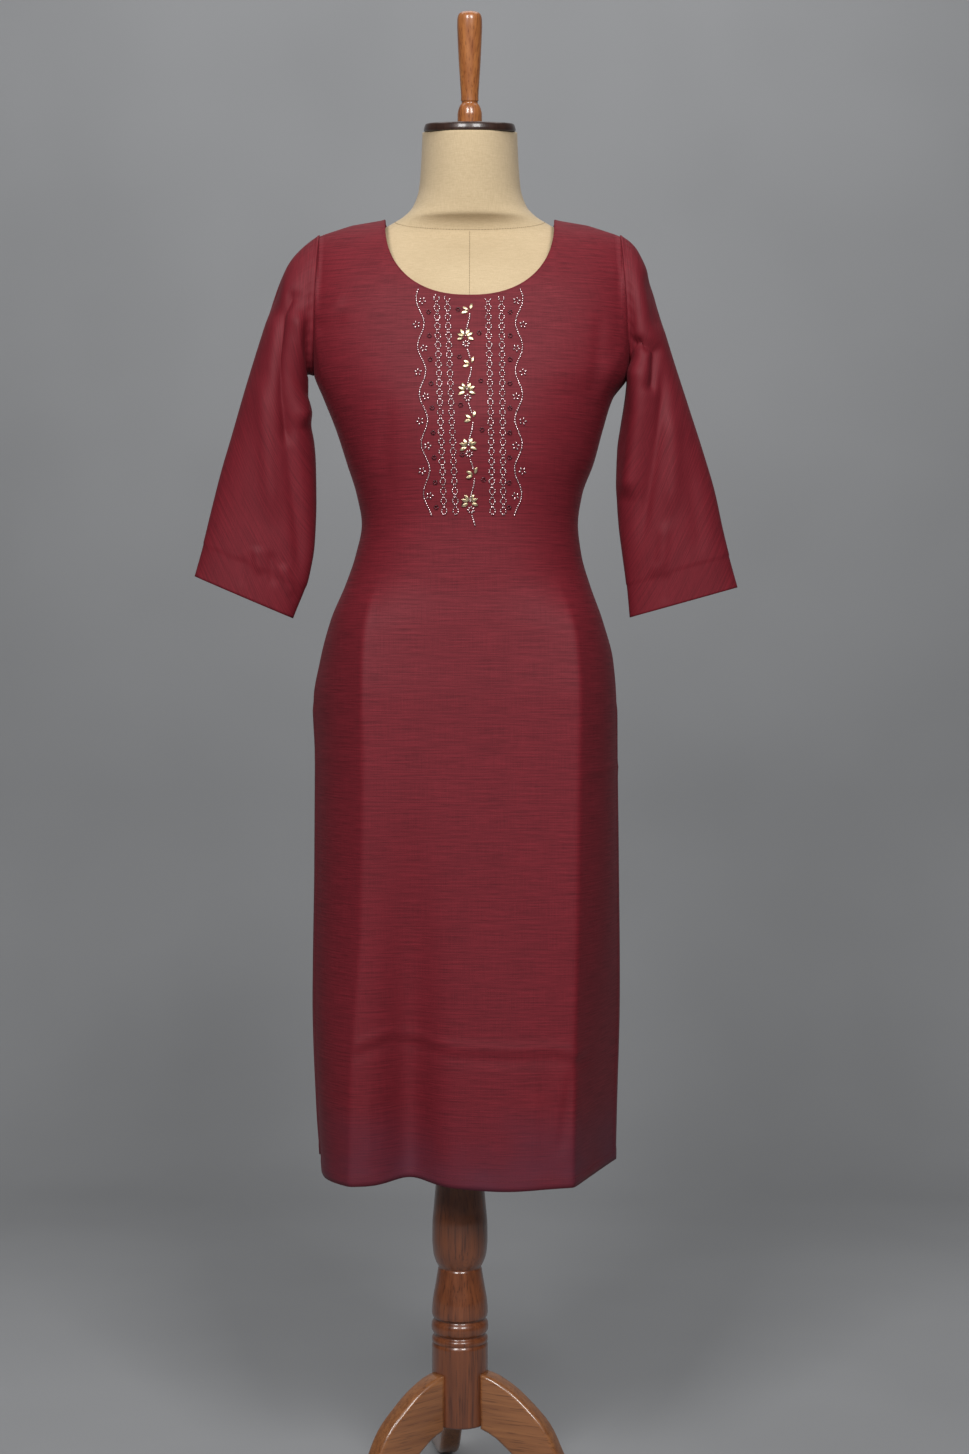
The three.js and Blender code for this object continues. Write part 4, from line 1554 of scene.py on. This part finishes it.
def turned(outline: Sequence[tuple[float, float]], steps: int) -> bmesh.types.BMesh:
    """Spins an outline about Z into a closed solid.

    Args:
        outline: radius and height from the bottom up.
        steps: how many facets round it.

    Returns:
        The solid, in millimetres.
    """
    bm = bmesh.new()
    points = [(0.0, outline[0][1]), *outline, (0.0, outline[-1][1])]
    verts = [bm.verts.new((r, 0, z)) for r, z in points]
    edges = [bm.edges.new(pair) for pair in zip(verts[:-1], verts[1:])]
    bmesh.ops.spin(
        bm, geom=verts + edges, cent=(0, 0, 0), axis=(0, 0, 1), angle=2 * math.pi, steps=steps, use_merge=True
    )
    bmesh.ops.remove_doubles(bm, verts=bm.verts, dist=1e-4)
    bmesh.ops.recalc_face_normals(bm, faces=bm.faces)
    return bm


def eased_outline(*runs: Sequence[tuple[float, float]], step: float = 1.5) -> list[tuple[float, float]]:
    """Curves each run of an outline and leaves a corner between runs.

    Args:
        runs: radius and height of each run, from the bottom up.
        step: the height between points.

    Returns:
        The whole outline.
    """
    outline: list[tuple[float, float]] = []
    for run in runs:
        rows = [BodyRow(z, r, r, r, r) for r, z in run]
        count = max(2, round((run[-1][1] - run[0][1]) / step))
        heights = np.linspace(run[0][1], run[-1][1], count)
        radii = Eased(rows).at(heights)["right"]
        outline += [(float(r), float(z)) for r, z in zip(radii, heights)]
    return outline


def settle(bm: bmesh.types.BMesh, place: Matrix) -> bmesh.types.BMesh:
    """Moves a mesh in millimetres to its place about the axis, then to metres in the shared frame.

    Args:
        bm: the mesh.
        place: its place, in millimetres about the axis.

    Returns:
        The same mesh.
    """
    shift = Matrix.Translation(Vector(AXIS)) @ Matrix.Scale(MM, 4) @ place
    bmesh.ops.transform(bm, matrix=shift, verts=bm.verts)
    return bm


@dataclass
class DressForm:
    """The linen-covered form with its neck cap and turned handle."""

    shades: Shades
    table: Eased = field(default_factory=lambda: Eased(FORM))

    def point(self, angle: np.ndarray, z: np.ndarray) -> np.ndarray:
        """Works out points of the form.

        Args:
            angle: 0 at the wearer's left and a quarter turn at the back.
            z: heights in the table.

        Returns:
            The points, with a last axis of x, y and z.
        """
        angle, z = np.broadcast_arrays(np.asarray(angle, float), np.asarray(z, float))
        row = self.table.at(z)
        lean = np.radians(row["lean"])
        ahead, beside = -np.sin(angle), np.cos(angle)
        depth = np.where(ahead > 0, row["front"], row["back"]) * np.sign(ahead) * np.abs(ahead) ** (2 / row["power"])
        x = row["half"] * np.sign(beside) * np.abs(beside) ** (2 / row["power"])
        return np.stack([x, -depth * np.cos(lean), z - depth * np.sin(lean)], -1)

    def make_cover(self) -> None:
        """Builds the linen-covered body."""
        angle = np.linspace(0, 2 * math.pi, 129)[:, None]
        z = np.concatenate([np.linspace(760, 1440, 80), np.linspace(1444, 1609, 70)])[None, :]
        grid = self.point(angle, z)
        bm = sheet_mesh(grid, grid[..., :2] * MM, True, False)
        bmesh.ops.holes_fill(bm, edges=[e for e in bm.edges if e.is_boundary], sides=0)
        bmesh.ops.recalc_face_normals(bm, faces=bm.faces)
        piece = keep("form_cover", bm, self.shades["linen"])
        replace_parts(piece, "dress_form")

    def make_seams(self) -> None:
        """Lays the seams down the front and back and round the foot of the neck."""
        front, back = -math.pi / 2, math.pi / 2
        turns = np.linspace(0, 2 * math.pi, 200)
        height = mix(1506, 1491, np.abs(np.sin(turns)) ** 1.5)
        lines = [
            self.point(np.full(240, front), np.linspace(800, 1489, 240)),
            self.point(np.full(240, back), np.linspace(800, 1604, 240)),
            self.point(turns, height),
        ]
        spots = []
        for line in lines:
            for here, there in zip(line[:-1], line[1:]):
                a, b = Vector(here), Vector(there)
                facing = Vector((a.x, a.y, 0)).normalized()
                stretch = Matrix.Diagonal(((b - a).length / 2.0, 1, 1, 1))
                spots.append(spot_on((a + b) / 2, facing, b - a, -0.12) @ stretch)
        stamped("form_seams", rod_shape(0.45, 2.4), spots, self.shades["seam_thread"])

    def make_top(self) -> None:
        """Turns the neck cap and the handle that stands on it."""
        row = FORM[-1]
        lean, middle = math.radians(row.lean), (row.front - row.back) / 2
        base = Matrix.Translation((0, -middle * math.cos(lean), row.z - middle * math.sin(lean)))
        base = base @ Matrix.Rotation(lean, 4, "X")
        cap = eased_outline(
            ((52.0, 0), (53, 1.2), (53, 2.5), (52.2, 6)), ((52.2, 6), (51.4, 7.8), (49.2, 9.3), (44, 9.5)), step=0.4
        )
        bm = settle(turned(cap, 96), base @ Matrix.Translation((0, 0, 0.4)))
        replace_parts(keep("cap_turned", bm, self.shades["cap_wood"]), "neck_cap")
        handle = eased_outline(
            ((13.4, 0), (14.2, 1), (14.2, 9), (13.4, 14), (11.6, 19), (9.9, 21.5)),
            ((9.5, 22), (9.4, 24)),
            (
                (10.3, 24.6), (10.2, 28), (11.2, 46), (12.5, 66), (14.0, 96),
                (14.4, 108), (14.2, 115), (12.9, 120), (9.6, 123), (5, 124),
            ),
            step=0.9,
        )
        bm = settle(turned(handle, 64), base @ Matrix.Translation((0, 0, 10.3)))
        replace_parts(keep("handle_turned", bm, self.shades["handle_wood"]), "neck_handle")

    def make(self) -> None:
        """Builds the form."""
        self.make_cover()
        self.make_seams()
        self.make_top()


@dataclass
class Stand:
    """The turned post and its three cut legs."""

    shades: Shades
    post_x: float = -12
    thickness: float = 25
    round_over: float = 5
    hub: float = 33
    top_edge: tuple[tuple[float, float], ...] = (
        (30, 161), (44, 157.5), (58, 151), (72, 142.5), (84, 133), (95, 123.5), (105, 114), (113, 104),
        (120, 92), (127, 77), (137, 60), (152, 44), (175, 31.5), (204, 24.5), (234, 22), (257, 18.5), (268, 10),
    )
    sole: tuple[tuple[float, float], ...] = ((270, 0), (212, 0))
    under_edge: tuple[tuple[float, float], ...] = (
        (184, 5.5), (158, 9), (132, 15), (112, 26), (97, 42), (82, 59), (63, 76), (45, 89), (30, 95),
    )

    def make_post(self) -> None:
        """Turns the post with its bead, grooves and long swelling."""
        outline = eased_outline(
            ((31.5, 98), (33, 99.6), (33.1, 150), (33, 190), (31.6, 193.5)),
            ((31.2, 194), (33.0, 195.5), (33.0, 199), (31.0, 201.5)),
            ((29.6, 202.5), (29.5, 204)),
            ((30.4, 204.5), (33.0, 208), (33.6, 212.5), (33.0, 217), (30.6, 220.5)),
            ((29.6, 221.5), (29.6, 224)),
            ((32.2, 224.6), (33.0, 229), (32.2, 242), (28.8, 262), (25.7, 281)),
            ((24.9, 281.6), (24.9, 283.4)),
            (
                (25.6, 284), (28.6, 290), (31.4, 300), (32.7, 316), (32.5, 334), (31.0, 352),
                (28.8, 378), (25, 440), (22, 540), (21, 700), (24, 745), (24, 759.6),
            ),
            ((16, 759.6), (16, 790)),
            step=1.2,
        )
        bm = settle(turned(outline, 72), Matrix.Translation((self.post_x, 0, 0)))
        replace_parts(keep("post_turned", bm, self.shades["post_wood"]), "stand_post")

    def make_leg(self, name: str, degrees: float) -> None:
        """Saws a leg from a board, rounds its edges and fits it to the hub.

        Args:
            name: the CAD node that it stands for.
            degrees: the way it points, from the wearer's left.
        """
        smooth_top = self.curved(self.top_edge)
        smooth_under = self.curved(self.under_edge)
        bm = bmesh.new()
        loop = [bm.verts.new((r, -self.thickness / 2, z)) for r, z in (*smooth_top, *self.sole, *smooth_under)]
        face = bm.faces.new(loop)
        made = bmesh.ops.extrude_face_region(bm, geom=[face])
        moved = [v for v in made["geom"] if isinstance(v, bmesh.types.BMVert)]
        bmesh.ops.translate(bm, verts=moved, vec=(0, self.thickness, 0))
        bmesh.ops.recalc_face_normals(bm, faces=bm.faces)
        sides = [e for e in bm.edges if abs(e.verts[0].co.y - e.verts[1].co.y) < 1e-6]
        rims = [e for e in sides if min(v.co.x for v in e.verts) > 29]
        rims = [e for e in rims if not (e.verts[0].co.z < 0.1 and e.verts[1].co.z < 0.1)]
        bmesh.ops.bevel(
            bm, geom=rims, offset=self.round_over, segments=4, profile=0.5, affect="EDGES", material=-1,
            clamp_overlap=True,
        )
        everything = bm.verts[:] + bm.edges[:] + bm.faces[:]
        bmesh.ops.bisect_plane(bm, geom=everything, plane_co=(30.6, 0, 0), plane_no=(-1, 0, 0), clear_outer=True)
        bmesh.ops.holes_fill(bm, edges=[e for e in bm.edges if e.is_boundary], sides=0)
        bmesh.ops.recalc_face_normals(bm, faces=bm.faces)
        place = Matrix.Translation((self.post_x, 0, 0)) @ Matrix.Rotation(math.radians(degrees), 4, "Z")
        piece = keep(name + "_shaped", settle(bm, place), self.shades[name + "_wood"])
        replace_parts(piece, name)

    def curved(self, edge: Sequence[tuple[float, float]]) -> list[tuple[float, float]]:
        """Fills in points along a leg's edge so that it curves.

        Args:
            edge: reach and height of the given points.

        Returns:
            The filled edge.
        """
        points = np.array(edge, float)
        at = np.concatenate([[0], np.cumsum(np.linalg.norm(np.diff(points, axis=0), axis=1))])
        rows = [BodyRow(a, r, z, 0, 0) for a, (r, z) in zip(at, points)]
        found = Eased(rows).at(np.linspace(0, at[-1], 2 * len(points)))
        return [(float(r), float(z)) for r, z in zip(found["right"], found["left"])]

    def make(self) -> None:
        """Builds the stand."""
        self.make_post()
        for name, degrees in (("leg_left", -23), ("leg_back", 97), ("leg_right", 217)):
            self.make_leg(name, degrees)


# ---- studio ----------------------------------------------------------------------------------------------------


@dataclass
class Studio:
    """A pale floor that sweeps up behind, two softboxes in front and the camera."""

    eye_distance: float = 2.75
    eye_height: float = 1.009
    eye_x: float = 0.017
    pitch: float = 1.877
    lens: float = 58.18
    grey: Colour = (0.36, 0.365, 0.375, 1)

    def make_sweep(self) -> None:
        """Builds the floor and backdrop as one curved sheet."""
        bm = bmesh.new()
        bend = [(1.5 + 0.7 * math.sin(a), 0.7 - 0.7 * math.cos(a)) for a in np.linspace(0, math.pi / 2, 17)]
        profile = [(-6.0, 0.0), *bend, (2.2, 5.0)]
        verts = [bm.verts.new((-6, y, z)) for y, z in profile]
        edges = [bm.edges.new(pair) for pair in zip(verts[:-1], verts[1:])]
        made = bmesh.ops.extrude_edge_only(bm, edges=edges)
        moved = [v for v in made["geom"] if isinstance(v, bmesh.types.BMVert)]
        bmesh.ops.translate(bm, verts=moved, vec=(12, 0, 0))
        bmesh.ops.recalc_face_normals(bm, faces=bm.faces)
        mesh = bpy.data.meshes.new("studio_sweep")
        bm.to_mesh(mesh)
        bm.free()
        mesh.shade_smooth()
        mesh.materials.append(Plain(self.grey, 0.95, 1.1).material("studio_grey"))
        sweep = bpy.data.objects.new("studio_sweep", mesh)
        bpy.context.scene.collection.objects.link(sweep)

    def make_light(
        self,
        name: str,
        place: tuple[float, float, float],
        aim: tuple[float, float, float],
        size: float,
        power: float,
    ) -> None:
        """Hangs a softbox.

        Args:
            name: its name.
            place: where it hangs.
            aim: the point that it faces.
            size: its width; it is half as tall again.
            power: its strength in watts.
        """
        data = bpy.data.lights.new(name, "AREA")
        data.shape, data.size, data.size_y, data.energy = "RECTANGLE", size, size * 1.5, power
        lamp = bpy.data.objects.new(name, data)
        lamp.location = place
        lamp.rotation_euler = (Vector(aim) - Vector(place)).to_track_quat("-Z", "Y").to_euler()
        bpy.context.scene.collection.objects.link(lamp)

    def make_camera(self) -> None:
        """Stands the camera in front, level with the hips and pitched slightly down."""
        data = bpy.data.cameras.new("camera")
        data.lens, data.sensor_width, data.clip_end = self.lens, 36, 50
        camera = bpy.data.objects.new("camera", data)
        camera.location = (AXIS[0] + self.eye_x, AXIS[1] - self.eye_distance, self.eye_height)
        camera.rotation_euler = (math.radians(90 - self.pitch), 0, 0)
        bpy.context.scene.collection.objects.link(camera)
        bpy.context.scene.camera = camera

    def make(self) -> None:
        """Sets the studio."""
        self.make_sweep()
        self.make_light("softbox_left", (-0.9, -2.6, 2.6), (0, 0, 1.0), 0.8, 58)
        self.make_light("softbox_right", (0.8, -2.6, 2.6), (0, 0, 1.0), 0.8, 52)
        self.make_light("back_wash", (0, 0.9, 3.2), (0, 2.2, 1.4), 1.8, 22)
        world = bpy.data.worlds.new("studio_world")
        world.use_nodes = True
        world.node_tree.nodes["Background"].inputs[0].default_value = (0.5, 0.51, 0.53, 1)
        world.node_tree.nodes["Background"].inputs[1].default_value = 0.12
        bpy.context.scene.world = world
        bpy.context.scene.view_settings.view_transform = "Standard"
        self.make_camera()


def main() -> None:
    """Builds the studio, the kurta, the form and the stand."""
    logging.basicConfig(level=logging.INFO, format="%(name)s %(message)s")
    Studio().make()
    shades = make_finishes()
    DressForm(shades).make()
    Stand(shades).make()
    Kurta(WornShape(), shades).make()


if __name__ == "__main__":
    main()
